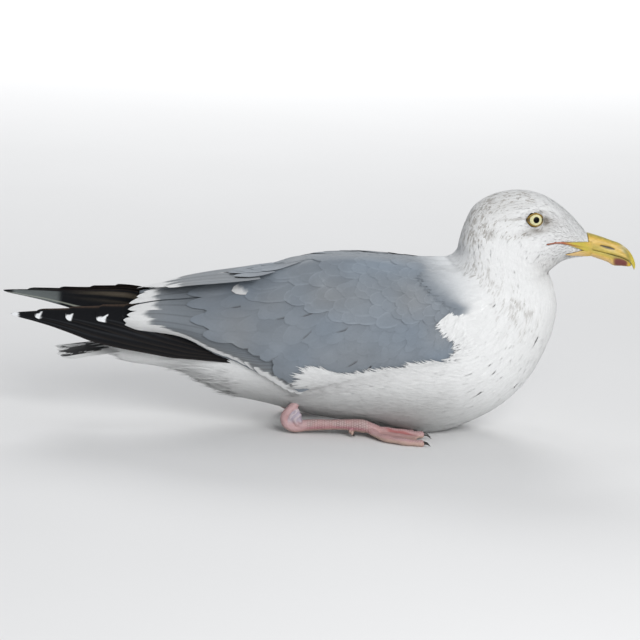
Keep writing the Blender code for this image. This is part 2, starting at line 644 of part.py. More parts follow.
def make_foot(side, ground):
    sign = SIDES[side]
    ankle = mirrored(ANKLE, sign)
    way = ankle - mirrored(HEEL, sign)
    way /= np.linalg.norm(way)
    front = ankle + GAP * way
    knuckle = front + np.outer(KNUCKLE[:, 0], way)
    foot = loft(f"foot_{side}", tube_rings(knuckle, KNUCKLE[:, 1], KNUCKLE[:, 2]), "pink_skin")
    toes = [make_web(f"web_{side}", sign)]
    for name, (_, _, radius) in TOES.items():
        start, end = toe_path(name, sign)
        share = np.linspace(0.0, 1.0, 6)
        joints = TOE_JOINT_SWELL * np.cos(2 * pi * TOE_JOINTS * share)
        radii = radius + (TOE_TIP_RADIUS - radius) * share + joints
        path = start + share[:, None] * (end - start)
        rings = tube_rings(path, radii, radii * TOE_FLATTER, TOE_SIDES)
        toes.append(loft(f"toe_{side}_{name}", rings))
        way = (end - start) / np.linalg.norm(end - start)
        make_claw(f"claw_{side}_{name}", end + GAP * way, way, CLAW_LENGTH, CLAW_RADIUS)
    start, end = (mirrored(point, sign) for point in HIND_TOE)
    share = np.linspace(0.0, 1.0, len(HIND_TOE_RADII))[:, None]
    path = start + share * (end - start)
    rings = tube_rings(path, HIND_TOE_RADII, HIND_TOE_RADII, TOE_SIDES)
    join(foot, [*toes, loft(f"hind_toe_{side}", rings)])
    boolean(foot, "DIFFERENCE", ground)
    way = (end - start) / np.linalg.norm(end - start)
    make_claw(f"claw_{side}_hind", end + GAP * way, way, HIND_CLAW_LENGTH, HIND_CLAW_RADIUS)


# --- The whole bird --------------------------------------------------------------------------

head_object, body_clearance = make_body()
make_eyes(head_object)
make_bill()
make_tail(body_clearance)
ground_cutter = make_ground()
for side_name in SIDES:
    wing_cutter = make_wing(side_name, body_clearance)
    make_primaries(side_name, body_clearance, wing_cutter)
    make_leg(side_name, body_clearance, ground_cutter)
    make_foot(side_name, ground_cutter)
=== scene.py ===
"""Looks of a life-size herring gull at rest: skin, plumage, bill, eyes, legs and a studio."""

from functools import lru_cache, partial
from math import cos, pi, radians, sin

import bmesh
import bpy
import numpy as np
from mathutils import Matrix, Vector


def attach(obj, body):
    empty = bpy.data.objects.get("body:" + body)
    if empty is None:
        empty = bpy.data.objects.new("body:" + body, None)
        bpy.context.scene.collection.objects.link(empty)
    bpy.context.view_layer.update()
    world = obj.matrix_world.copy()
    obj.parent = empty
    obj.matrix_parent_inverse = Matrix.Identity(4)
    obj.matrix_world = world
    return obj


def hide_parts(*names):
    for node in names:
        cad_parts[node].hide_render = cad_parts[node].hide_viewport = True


bl_info = {
    "name": "Herring gull",
    "version": (1, 0, 0),
    "blender": (4, 5, 0),
    "location": "3D View > Sidebar > Gull",
    "description": "Skin, plumage, bill, eyes and legs of a life-size herring gull at rest",
    "category": "Add Mesh",
}

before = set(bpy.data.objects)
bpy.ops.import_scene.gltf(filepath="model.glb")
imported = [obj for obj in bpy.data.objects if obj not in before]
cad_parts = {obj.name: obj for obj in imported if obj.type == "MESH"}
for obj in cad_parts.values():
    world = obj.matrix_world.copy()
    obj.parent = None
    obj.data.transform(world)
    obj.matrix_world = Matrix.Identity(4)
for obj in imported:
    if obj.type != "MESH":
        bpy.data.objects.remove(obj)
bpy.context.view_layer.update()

MM = 0.001
SHIFT_X = 0.65  # the tables below are in millimetres, this far behind the frame's origin
SIDES = {"right": -1, "left": 1}
SEEDS = {"head": 11, "neck": 12, "breast": 13, "mantle": 14, "wing": 15, "tail": 16}

# --- Outlines repeated from the solids ---
# Body sections: back x, z, underside x, z, half-width, share by which it is wider below.
BODY = np.array((
    (-205, 69.5, -206, 60.5, 9, 0),
    (-174, 79, -173.5, 53.8, 19, 0),
    (-133.2, 93, -131.6, 48, 29, 0.02),
    (-97.3, 113.5, -87.6, 28.7, 41, 0.06),
    (-61.5, 136.8, -47.5, 20.4, 52, 0.1),
    (-21, 154.9, -5.4, 11.2, 60, 0.12),
    (20.1, 160.9, 46, 3.9, 64, 0.12),
    (56.9, 160.2, 102.1, -3.4, 65, 0.1),
    (84.7, 158.8, 152.7, 14.4, 62, 0.08),
    (105.9, 159.2, 188.4, 43.6, 57, 0.05),
    (116.9, 161, 209.5, 82.3, 50, 0.02),
    (122.6, 167.1, 216.8, 115.7, 42, 0),
    (124.4, 176.5, 212.1, 139.1, 34, 0),
    (128.2, 191.6, 207.8, 149.8, 28.5, 0),
    (136.5, 209.1, 211.6, 155.5, 24.5, 0),
    (155.2, 220.9, 218.8, 160, 22.5, 0),
    (178.9, 224.9, 226.9, 163.2, 21.5, 0),
    (201.3, 220.1, 234.3, 164.6, 18.5, 0),
    (222.5, 206.4, 239.8, 165.4, 13.5, 0),
    (241.2, 187.6, 244.4, 166.4, 9, 0),
))
BODY_END = len(BODY) - 1
BODY_ROUNDNESS = 2.2
# Wing: x, then outward distance and z of its lower edge, middle and upper edge.
WING = np.array((
    (142, 54, 96, 50, 102, 44, 110),
    (127, 60.5, 85, 58, 102, 51, 122),
    (118, 64, 77, 63.5, 104, 47, 134),
    (105, 66.6, 73.5, 66.8, 108, 38, 145),
    (85, 67.8, 70, 69.2, 110, 31, 152.5),
    (60, 67.8, 64, 70.8, 110, 27, 156.8),
    (30, 67.2, 57, 70.8, 108, 24, 158.4),
    (0, 65.6, 50, 69.2, 105, 22, 156.4),
    (-25, 62.2, 45.5, 66.6, 101, 19, 151.4),
    (-57, 56.5, 57, 60.8, 100, 14, 142),
    (-80, 52, 68, 55.4, 100, 11.5, 137),
    (-100, 48.5, 75, 50.8, 102, 10, 133.5),
    (-125, 43, 86, 44.4, 106, 9, 129),
    (-150, 37, 91, 37.8, 108, 9, 123),
    (-170, 32, 91.5, 31.8, 106, 11, 117),
    (-184, 27.5, 95, 26.5, 104, 14.5, 110),
    (-206, 22, 98, 20, 103, 17, 106),
))
LEFT_WING_RISE, LEFT_WING_FROM, LEFT_WING_TO = 3, -20, -110
# Stack of primaries: x, outward distance and z of its lower and of its upper edge.
PRIMARY_COURSE = np.array((
    (-40, 52, 54, 37, 83),
    (-60, 50, 60, 34, 87),
    (-104, 44, 67, 24, 95),
    (-137, 40, 72.3, 18, 102),
    (-174, 37, 77.8, 13, 107.5),
    (-211, 34, 82.1, 11, 107.9),
    (-238, 31, 87.8, 13, 107.4),
    (-258, 28, 91.9, 15, 106.3),
    (-277, 25, 95.7, 18.5, 103.8),
    (-296, 22, 99.5, 21.5, 101),
))
TIP_RISE, TIP_REACH = {"right": 0, "left": 12.5}, {"right": 0, "left": 8.5}
TAIL_ROOT, TAIL_TIP = (-165, 76, 23, 9), (-243.5, 64.5, 30, 9.5)  # x, z, half, crown
EYE_CENTRE, EYE_TURN = np.array((190, 17.2, 200.9)), 12
# Bill: upper edge x, z, lower edge x, z, half-width.
UPPER_MANDIBLE = np.array((
    (241.55, 187.6, 243.6, 173.9, 8.4),
    (252.8, 184.7, 251.5, 171.9, 7.4),
    (264.8, 180.8, 260.5, 170, 6.4),
    (272.3, 178.4, 269.4, 167.8, 5.7),
    (279.5, 173.6, 276.8, 165.1, 4.6),
    (284.6, 167.6, 281.7, 162.3, 3.4),
    (287.6, 161, 284.8, 158.6, 2.3),
    (288.2, 156.6, 286.6, 155.4, 1.2),
    (287.6, 154.1, 287, 153.9, 0.4),
))
LOWER_MANDIBLE = np.array((
    (243.7, 173.4, 244.8, 166.2, 7.8),
    (252, 171.3, 253.8, 163.4, 6.6),
    (260.5, 169.4, 262.1, 160.6, 5.6),
    (267.2, 167.7, 267.9, 157.6, 5),
    (275.5, 165.5, 275.5, 157.4, 3.9),
    (281, 162.6, 281.4, 157, 2.6),
    (284.3, 159.3, 284.5, 157.6, 0.9),
))
# Centre lines of the leg with their half-widths: x, |y|, z, level, upright.
HEEL_ARC = np.array((
    (-12, 29, 37, 6, 6),
    (-19.5, 37, 29.5, 4.8, 4.6),
    (-27.2, 42, 22.4, 4.6, 3.9),
    (-32, 42.6, 15.2, 4.6, 3.9),
    (-29.8, 42.6, 8.4, 4.6, 3.9),
    (-22, 42.6, 5.4, 4.6, 4.2),
    (-12, 43, 8, 4.4, 5),
))
HEEL_FOLD = np.array((
    (-24, 42.2, 24.5, 2.4, 3.4),
    (-22.8, 42.4, 16, 4, 6.4),
    (-21, 42.8, 8, 3, 5),
))
TARSUS = np.array((
    (-18, 42.8, 7.4, 4.5, 5),
    (-6, 43.6, 8.8, 4.2, 5.4),
    (12, 45.2, 10, 3.9, 4.8),
    (26, 46.8, 10.6, 4.2, 5.2),
    (38, 48.5, 10.4, 5.4, 6.2),
    (47, 49.4, 8.8, 5.4, 4.9),
    (55, 50.2, 7.2, 4.6, 3.6),
))
FOOT_CENTRE = (44.5, 49.2, 8.4)
# Toes: where each ends, its half-width there, and how fast it comes down to the floor.
TOES = {
    "inner": ((86, 38, 2.7), 3.2, 2.4),
    "middle": ((93.5, 53, 4.7), 3.5, 1.5),
    "outer": ((91.5, 77.5, 2.7), 3.4, 6),
}
HIND_TOE = ((28.5, 50, 6), (30.8, 52.4, 2.4))
LEG_NODES = [f"{part}_{side}" for part in ("leg", "foot") for side in SIDES]
CLAW_NODES = [f"claw_{side}_{toe}" for side in SIDES for toe in (*TOES, "hind")]


# --- Small mathematics ---


def smooth(value, low=0, high=1):
    """Eases from 0 at low to 1 at high: 3f^2 - 2f^3 of the share f between them."""
    share = np.clip((value - low) / (high - low), 0, 1)
    return share**2 * (3 - 2 * share)


def unit(vectors):
    """Vectors divided by their own length."""
    return vectors / np.maximum(np.linalg.norm(vectors, axis=-1, keepdims=True), 1e-9)


def dot(a, b):
    return (a * b).sum(axis=-1)


def power(value, exponent):
    """The size of a value to a power, with its sign kept."""
    return np.sign(value) * np.abs(value) ** exponent


def spline(table, place):
    """Catmull-Rom curve through the rows of a table, at row numbers that may be fractions:
    a cubic whose slope at each row is half the step between its neighbours."""
    place = np.atleast_1d(np.asarray(place, float))
    first, last = 2 * table[0] - table[1], 2 * table[-1] - table[-2]
    rows = np.vstack([first, table, last])
    start = np.clip(np.floor(place).astype(int), 0, len(table) - 2)
    f = (place - start)[:, None]
    a, b, c, d = rows[start], rows[start + 1], rows[start + 2], rows[start + 3]
    bend = (2 * a - 5 * b + 4 * c - d) * f**2 + (3 * b - a - 3 * c + d) * f**3
    return 0.5 * (2 * b + (c - a) * f + bend)


def at_x(table, x):
    """The rows of a table that starts with x, interpolated at the given x."""
    column = table[:, 0]
    order = np.argsort(column)
    place = np.interp(x, column[order], np.arange(len(column))[order])
    return spline(table, place)[:, 1:]


def noise(points, scale, seed):
    """Value noise from 0 to 1: a fixed random number at each corner of a lattice with the
    given spacing, blended smoothly between the eight corners round a point."""
    q = points / scale
    cell = np.floor(q)
    f = smooth(q - cell)
    total = np.zeros(points.shape[:-1])
    for corner in np.ndindex(2, 2, 2):
        at = cell + corner
        random = np.sin(at @ (127.1, 311.7, 74.7) + 53.1 * seed) * 43758.5453
        weight = np.where(np.array(corner) == 1, f, 1 - f).prod(axis=-1)
        total += weight * (random - np.floor(random))
    return total


def bell(value, middle, half, exponent=2):
    """1 at the middle and fading to both sides: exp(-((value - middle) / half)^exponent)."""
    return np.exp(-(((value - middle) / half) ** exponent))


def mix(a, b, share):
    """Blends two colours, or arrays of colours, by a share for each point."""
    share = np.asarray(share)[..., None]
    return np.asarray(a) * (1 - share) + np.asarray(b) * share


# --- Surfaces the plumage lies on ---

# Soft forms added to the body: centre x, |y|, z, reach in x, y, z, and height.
BODY_FORMS = (
    (186, 19, 210.5, 15, 9, 4.5, 1.3),  # brow
    (190, 23, 201, 9, 9, 7.5, -1.6),  # hollow of the eye
    (190, 19, 189, 16, 10, 5, 0.9),  # below the eye
    (214, 12, 193, 12, 8, 7, -1.2),  # lores
    (186, 20, 172, 18, 12, 9, 1.6),  # cheek
    (205, 10, 156, 12, 16, 5, 1.6),  # chin and throat
    (197, 22, 148.5, 18, 16, 3.2, -2),  # fold under the throat
    (142, 26, 160, 14, 14, 16, 1),  # side of the neck
    (150, 40, 128, 22, 20, 18, -1.2),
)


def body_shape(place, angle):
    """Body: a superellipse between the back point and the underside point of the section
    at a place along it. The angle runs from the back over the left side."""
    row = spline(BODY, place)
    middle, half = (row[:, 0:2] + row[:, 2:4]) / 2, (row[:, 0:2] - row[:, 2:4]) / 2
    up = power(np.cos(angle), 2 / BODY_ROUNDNESS)[:, None]
    out = power(np.sin(angle), 2 / BODY_ROUNDNESS)[:, None] * (1 - row[:, 5:6] * up)
    flat = middle + half * up
    points = np.column_stack([flat[:, 0], row[:, 4] * out[:, 0], flat[:, 1]])
    centre = np.column_stack([middle[:, 0], 0 * angle, middle[:, 1]])
    away = unit(points - centre)
    for x, y, z, rx, ry, rz, height in BODY_FORMS:
        folded = points * (1, 0, 1) + np.abs(points) * (0, 1, 0)
        gap = (folded - (x, y, z)) / (rx, ry, rz)
        points = points + away * (height * np.exp(-dot(gap, gap)))[:, None]
    return points


def wing_shape(side, x, share):
    """Folded wing: a parabola through the lower edge, middle and upper edge at x, and
    beyond a share of 1 a second one that carries it over the back to the middle."""
    low, mid, top = np.split(at_x(WING, x), 3, axis=1)
    knot = 2 * mid - (low + top) / 2
    s = np.minimum(share, 1)[:, None]
    flat = (1 - s) ** 2 * low + 2 * s * (1 - s) * knot + s**2 * top
    slope = 2 * (top - knot)
    wide = np.clip(-top[:, 0] / slope[:, 0], 0.02, 0.4)[:, None]
    e = np.clip((share - 1)[:, None] / wide, 0, None)
    back = np.minimum(at_x(BODY[:, :2], x)[:, 0], 161)
    crown = np.maximum(back, top[:, 1] + 0.6)
    turn = top + slope * wide / 2
    turn[:, 1] = np.minimum(turn[:, 1], crown + 1)
    end = np.column_stack([0 * x, crown])
    f = np.minimum(e, 1)
    over = (1 - f) ** 2 * top + 2 * f * (1 - f) * turn + f**2 * end
    over[:, 0] -= np.maximum(e[:, 0] - 1, 0) * top[:, 0]
    flat = np.where(e > 0, over, flat)
    if side == "left":
        rise = (x - LEFT_WING_FROM) / (LEFT_WING_TO - LEFT_WING_FROM)
        flat[:, 1] += LEFT_WING_RISE * smooth(rise)
    return np.column_stack([x, SIDES[side] * flat[:, 0], flat[:, 1]])


def primary_shape(side, x, share):
    """Stack of primaries: straight across from its lower to its upper edge, and slightly
    hollow between them."""
    course_x = x + TIP_REACH[side] * smooth(-x, 60, 250)
    low, high = np.split(at_x(PRIMARY_COURSE, course_x), 2, axis=1)
    across = unit(high - low)
    outward = np.column_stack([across[:, 1], -across[:, 0]])
    flat = low + (high - low) * share[:, None]
    flat = flat + outward * (1.5 * 4 * share * (1 - share))[:, None]
    rise = TIP_RISE[side] * smooth(-x, 90, 180)
    return np.column_stack([x, SIDES[side] * flat[:, 0], flat[:, 1] + rise])


def tail_shape(x, y):
    """Tail: a fan whose height falls from its root to its tip and from its middle to its
    edges, as the square of the distance from the middle."""
    f = (x - TAIL_ROOT[0]) / (TAIL_TIP[0] - TAIL_ROOT[0])
    height, half, crown = (a + (b - a) * f for a, b in zip(TAIL_ROOT[1:], TAIL_TIP[1:]))
    return np.column_stack([x, y, height - crown * (y / half) ** 2])


class Sheet:
    """A curved surface sampled on an even grid of its two parameters, with its outward
    normals and its two slopes. Between the samples all four are blended."""

    def __init__(self, shape, u_range, v_range, counts, outward=1):
        self.ranges = (u_range, v_range)
        u, v = np.linspace(*u_range, counts[0]), np.linspace(*v_range, counts[1])
        self.low, self.step = np.array((u[0], v[0])), np.array((u[1] - u[0], v[1] - v[0]))
        self.top = np.array(counts) - 1.001
        uu, vv = np.meshgrid(u, v, indexing="ij")
        points = shape(uu.ravel(), vv.ravel()).reshape(*counts, 3)
        along = np.gradient(points, self.step[0], axis=0)
        across = np.gradient(points, self.step[1], axis=1)
        normal = unit(np.cross(along, across)) * outward
        self.grid = np.concatenate([points, normal, along, across], axis=2)

    def frame(self, u, v):
        """Point, normal and the two slopes at (u, v)."""
        u, v = np.broadcast_arrays(u, v)
        q = np.clip((np.stack([u, v], axis=-1) - self.low) / self.step, 0, self.top)
        i = q.astype(int)
        f = (q - i)[..., None, :]
        i, j = i[..., 0], i[..., 1]
        g = self.grid
        near = g[i, j] * (1 - f[..., 0]) + g[i + 1, j] * f[..., 0]
        far = g[i, j + 1] * (1 - f[..., 0]) + g[i + 1, j + 1] * f[..., 0]
        return np.split(near * (1 - f[..., 1]) + far * f[..., 1], 4, axis=-1)

    def unwrapped(self, u, v):
        """Place on the unwrap of the surface: both parameters run from 0 to 1."""
        (u0, u1), (v0, v1) = self.ranges
        return np.stack([(u - u0) / (u1 - u0), (v - v0) / (v1 - v0)], axis=-1)


@lru_cache(maxsize=None)
def body_sheet():
    return Sheet(body_shape, (0, BODY_END), (-0.5, 2 * pi + 0.5), (571, 281))


@lru_cache(maxsize=None)
def wing_sheet(side):
    shape = partial(wing_shape, side)
    return Sheet(shape, (-205, 141), (-0.4, 1.4), (347, 91), -SIDES[side])


@lru_cache(maxsize=None)
def primary_sheet(side):
    shape = partial(primary_shape, side)
    return Sheet(shape, (-297, -40), (-0.3, 1.3), (258, 41), -SIDES[side])


@lru_cache(maxsize=None)
def tail_sheet():
    return Sheet(tail_shape, (-250, -150), (-45, 45), (101, 61))


CELL, MAP_START, MAP_CELLS = 2, (-230, 0), (240, 118)  # height map of a side: x, z


@lru_cache(maxsize=None)
def side_map(side):
    """How far out the outermost of body and wing lies over x and z: the largest sample in
    each cell, carried into empty cells beside it and then blended with its neighbours."""
    sign = SIDES[side]
    body = body_sheet().grid[..., :3].reshape(-1, 3)
    uu, vv = np.meshgrid(np.linspace(-184, 127, 400), np.linspace(0, 1, 120), indexing="ij")
    wing = wing_sheet(side).frame(uu, vv)[0].reshape(-1, 3)
    out = np.zeros(MAP_CELLS)
    for points in (body, wing):
        cell = np.round((points[:, [0, 2]] - MAP_START) / CELL).astype(int)
        cell = np.clip(cell, 0, np.array(MAP_CELLS) - 1)
        np.maximum.at(out, tuple(cell.T), sign * points[:, 1])
    for _ in range(6):
        edge = np.pad(out, 1, mode="edge")
        near = np.stack([edge[1:-1, :-2], edge[1:-1, 2:], edge[:-2, 1:-1], edge[2:, 1:-1]])
        filled = near.sum(axis=0) / np.maximum((near > 0).sum(axis=0), 1)
        out = np.where(out > 0, out, filled)
    for _ in range(3):
        for axis in (0, 1):
            edge = np.pad(out, [(1, 1) if a == axis else (0, 0) for a in (0, 1)], mode="edge")
            a, b, c = (np.take(edge, np.arange(k, k + out.shape[axis]), axis) for k in (0, 1, 2))
            out = (a + 2 * b + c) / 4
    return out


def out_at(side, x, z):
    """The height map of a side at x and z, blended between its cells."""
    out = side_map(side)
    q = (np.stack([x, z], axis=-1) - MAP_START) / CELL
    q = np.clip(q, 0, np.array(MAP_CELLS) - 1.001)
    i, j = q[..., 0].astype(int), q[..., 1].astype(int)
    f, g = q[..., 0] - i, q[..., 1] - j
    low = out[i, j] * (1 - f) + out[i + 1, j] * f
    high = out[i, j + 1] * (1 - f) + out[i + 1, j + 1] * f
    return low * (1 - g) + high * g


@lru_cache(maxsize=None)
def side_sheet(side):
    """The side of the bird, with the hollow under the wing's lower edge filled: the larger
    of its own reach and the mean of that 12 mm up and down."""

    def shape(x, z):
        steps = np.linspace(-12, 12, 9)
        mean = np.mean([out_at(side, x, z + step) for step in steps], axis=0)
        low = smooth(-z, -86, -74)
        out = out_at(side, x, z)
        return np.column_stack([x, SIDES[side] * (out + low * np.maximum(mean - out, 0)), z])

    return Sheet(shape, (-200, 240), (2, 214), (221, 107), -SIDES[side])


THROWS, THROWN_OVER = 200_000, 6  # places thrown on a surface, and how often over they cover it


def scatter(sheet, spacing, rng, u_range, v_range, keep=None):
    """Roots spread evenly: places thrown on a surface in proportion to its area, of which
    the first in each cell of a lattice in space is kept."""
    u, v = (rng.uniform(*r, THROWS) for r in (u_range, v_range))
    _, _, along, across = sheet.frame(u, v)
    area = np.linalg.norm(np.cross(along, across), axis=1)
    total = area.mean() * (u_range[1] - u_range[0]) * (v_range[1] - v_range[0])
    wanted = int(THROWN_OVER * total / spacing**2)
    pick = rng.choice(len(u), size=wanted, p=area / area.sum())
    jitter = rng.normal(size=(2, wanted)) * 0.004
    u = np.clip(u[pick] + jitter[0] * (u_range[1] - u_range[0]) * 0.2, *u_range)
    v = np.clip(v[pick] + jitter[1] * (v_range[1] - v_range[0]) * 0.2, *v_range)
    points = sheet.frame(u, v)[0]
    cell = np.floor(points / spacing).astype(np.int64) @ (1, 4_001, 16_008_001)
    _, first = np.unique(cell, return_index=True)
    first = np.sort(first)
    if keep is not None:
        first = first[keep(points[first], u[first], v[first])]
    return u[first], v[first]


# --- Vanes ---


@lru_cache(maxsize=None)
def vane_template(stations, strands):
    """One closed vane, counted: an upper and an under side on the same grid, which share
    their rim. Gives the faces, each point's row and column, its side (+1 over, -1 under,
    0 on the rim), and each face corner's point of the upper grid."""
    rows, columns = stations + 1, strands + 1
    upper = np.arange(rows * columns).reshape(rows, columns)
    under = upper.copy()
    inner = np.arange((rows - 2) * (columns - 2)).reshape(rows - 2, columns - 2)
    under[1:-1, 1:-1] = upper.size + inner

    def quads(grid):
        corners = (grid[:-1, :-1], grid[1:, :-1], grid[1:, 1:], grid[:-1, 1:])
        return np.stack(corners, axis=-1).reshape(-1, 4)

    faces = np.vstack([quads(upper), quads(under)[:, ::-1]])
    spots = np.vstack([quads(upper), quads(upper)[:, ::-1]])
    row, column = np.indices((rows, columns))
    face_side = np.zeros((rows, columns))
    face_side[1:-1, 1:-1] = 1
    row = np.append(row, row[1:-1, 1:-1])
    column = np.append(column, column[1:-1, 1:-1])
    face_side = np.append(face_side, -face_side[1:-1, 1:-1])
    return faces, row, column, face_side, spots


def tuft_plan(s):
    """Half-width of a soft tuft along its length: widest at a third, then to a point."""
    return np.minimum(1, 0.45 + 1.9 * s) * (1 - s) ** 0.75 * 1.15 + 0.02


def round_plan(s):
    """Half-width of a covert: full soon after the root, and closed by a broad half oval."""
    oval = np.clip((s - 0.66) / 0.34, 0, 1)
    return np.minimum(1, 0.45 + 1.6 * s) * np.sqrt(1 - oval**2.3) + 0.01


PATCH = 0.003  # how much of the unwrap one vane covers


def lay(sheet, roots, heading, length, width, plan, low, high, **more):
    """Vanes draped over a surface. A point at share s of the length and c of the
    half-width is carried from the root by length * s along the heading and by
    width / 2 * plan(s) * c to the side, both measured on the surface, and then raised
    by a height that grows from low at the root to high at the tip."""
    stations, strands = more.get("stations", 3), more.get("strands", 2)
    faces, row, column, face_side, spots = vane_template(stations, strands)
    s = (row / stations) ** more.get("crowd", 1)
    c = 2 * column / strands - 1
    c = np.sign(c) * (1 - (1 - np.abs(c)) ** more.get("brim", 1))
    u, v = (np.asarray(r, float)[:, None] for r in roots)
    _, normal, along, across = sheet.frame(u, v)
    heading = np.asarray(heading, float)[:, None, :]
    way = unit(heading - normal * dot(heading, normal)[..., None])
    sideways = np.cross(normal, way)
    length, width, low, high, roll, bend = (
        np.broadcast_to(np.asarray(value, float), (len(u),))[:, None]
        for value in (length, width, low, high, more.get("roll", 0), more.get("bend", 0))
    )
    half = width / 2 * plan(s)
    reach = length * s
    slide = half * c + bend * length * s**2
    aa, ac, cc = dot(along, along), dot(along, across), dot(across, across)
    spread = aa * cc - ac**2
    a = reach * dot(way, along) + slide * dot(sideways, along)
    b = reach * dot(way, across) + slide * dot(sideways, across)
    du, dv = (cc * a - ac * b) / spread, (aa * b - ac * a) / spread
    place, up = sheet.frame(u + du, v + dv)[:2]
    rise = low + (high - low) * s ** more.get("climb", 0.8) - more.get("dive", 0) * s**3
    rise = rise - more.get("camber", 0.10) * half * c**2 + roll * half * c
    ridge = more.get("thick", 0.3) / 2 * (1 - 0.6 * c**2) * (1 - 0.5 * s)
    on_shaft = np.abs(c - more.get("shaft_at", 0)) < 0.04
    rise = rise + face_side * ridge + more.get("shaft", 0) * on_shaft * face_side
    points = place + up * rise[..., None]
    points[..., 2] = np.maximum(points[..., 2], more.get("floor", 0.15))
    # Normals of the upper side from its own slopes, eased towards the surface below it, so
    # that the light doesn't bend round the thin rims.
    size = (stations + 1) * (strands + 1)
    grid = points[:, :size].reshape(len(u), stations + 1, strands + 1, 3)
    facing = np.cross(np.gradient(grid, axis=1), np.gradient(grid, axis=2))
    facing = unit(facing.reshape(len(u), size, 3))
    ease = more.get("ease", 0.5)
    facing = unit(facing * (1 - ease) + up[:, :size] * ease)
    turned = np.repeat((1, -1), len(spots) // 2)[:, None, None]
    sizes = np.stack(np.broadcast_arrays(slide - bend * length * s**2, reach), axis=-1)
    return {
        "points": points, "faces": faces, "normals": facing[:, spots] * turned,
        "side": face_side, "s": s, "c": c, "sizes": sizes,
        "bake": sheet.unwrapped(u, v) + PATCH * np.stack([c / 2, s - 0.5], axis=-1),
    }


def plumage_piece(name, layers, kind, replaces=()):
    """Joins layers of vanes into one piece, with each point's colour, a map in
    millimetres along each vane for the barbs, and the unwrap where every vane is a small
    patch at its root's place."""
    faces, count = [], 0
    for layer in layers:
        many, each = layer["points"].shape[:2]
        offset = count + np.arange(many)[:, None, None] * each
        faces.append((layer["faces"][None] + offset).reshape(-1, 4))
        layer["bake"] = np.broadcast_to(layer["bake"], (many, each, 2))
        count += many * each

    def stacked(key):
        return np.vstack([layer[key].reshape(-1, layer[key].shape[-1]) for layer in layers])

    mesh = quad_mesh(name, stacked("points"), np.vstack(faces), stacked("tint"))
    add_map(mesh, "vane", stacked("sizes"), render=True)
    add_map(mesh, "OFBake", stacked("bake"))
    mesh.normals_split_custom_set(stacked("normals"))
    add_piece(name, mesh, [plumage_material(kind)], replaces)


def strip_unwrap(layer):
    """For a few broad feathers: each gets its own upright strip of the unwrap."""
    total, s = len(layer["points"]), layer["s"][None]
    column = np.arange(total)[:, None] / total
    wide = 0.2 + 0.8 * np.sin(pi * np.clip(s, 0.05, 0.95))
    inside = 0.5 + 0.45 * layer["c"][None] * wide
    layer["bake"] = np.stack([column + inside / total, 0.02 + 0.96 * s + 0 * column], axis=-1)


# --- Meshes and materials ---


def quad_mesh(name, points_mm, quads, tint=None):
    """A mesh of four-cornered faces from arrays in millimetres, with a colour per point."""
    mesh = bpy.data.meshes.new(name)
    points = (np.asarray(points_mm) + (SHIFT_X, 0, 0)) * MM
    mesh.vertices.add(len(points))
    mesh.vertices.foreach_set("co", points.astype(np.float32).ravel())
    mesh.loops.add(quads.size)
    mesh.loops.foreach_set("vertex_index", quads.astype(np.int32).ravel())
    mesh.polygons.add(len(quads))
    mesh.polygons.foreach_set("loop_start", np.arange(0, quads.size, 4, dtype=np.int32))
    mesh.update(calc_edges=True)
    mesh.shade_smooth()
    if tint is not None:
        rgba = np.ones((len(tint), 4), np.float32)
        rgba[:, :3] = tint
        attribute = mesh.attributes.new("tint", "FLOAT_COLOR", "POINT")
        attribute.data.foreach_set("color", rgba.ravel())
    return mesh


def add_map(mesh, name, places, render=False):
    """A UV map from one place for each point."""
    corner = np.zeros(len(mesh.loops), np.int32)
    mesh.loops.foreach_get("vertex_index", corner)
    layer = mesh.uv_layers.new(name=name)
    layer.data.foreach_set("uv", places[corner].astype(np.float32).ravel())
    if render:
        layer.active_render = True


def add_piece(name, mesh, materials, replaces=()):
    """An object that rides on the bird's only body, in place of the nodes it replaces."""
    obj = bpy.data.objects.new(name, mesh)
    bpy.context.scene.collection.objects.link(obj)
    for material in materials:
        mesh.materials.append(material)
    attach(obj, "root")
    if replaces:
        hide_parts(*replaces)


def joined(name, parts):
    """One mesh of several parts, each with its points, faces and colours."""
    points, faces, paint = zip(*parts)
    starts = np.cumsum([0] + [len(p) for p in points[:-1]])
    faces = [rows + start for rows, start in zip(faces, starts)]
    return quad_mesh(name, np.vstack(points), np.vstack(faces), np.vstack(paint))


def solid_piece(name, parts, material, replaces):
    """A piece of closed parts, with doubled points merged and all faces turned outwards."""
    mesh = joined(name, parts)
    bm = bmesh.new()
    bm.from_mesh(mesh)
    bmesh.ops.remove_doubles(bm, verts=bm.verts, dist=1e-7)
    bmesh.ops.recalc_face_normals(bm, faces=bm.faces)
    bm.to_mesh(mesh)
    bm.free()
    add_piece(name, mesh, [material], replaces)


def grid_quads(rows, columns, wrap=True):
    """Faces of a grid of points, whose columns may close on themselves."""
    i, j = np.indices((rows - 1, columns if wrap else columns - 1))
    k = (j + 1) % columns
    corners = (i * columns + j, (i + 1) * columns + j, (i + 1) * columns + k, i * columns + k)
    return np.stack(corners, axis=-1).reshape(-1, 4)


def capped(rings, share=0.02):
    """Rings of points with one more at both ends, shrunk to a share round its centre."""
    ends = []
    for k in (0, -1):
        centre = rings[k].mean(axis=0)
        ends.append((centre + (rings[k] - centre) * share)[None])
    return np.concatenate([ends[0], rings, ends[1]])


def part_of(rings, paint):
    """Points, faces and colours of rings that close on themselves."""
    return rings.reshape(-1, 3), grid_quads(*rings.shape[:2]), paint.reshape(-1, 3)


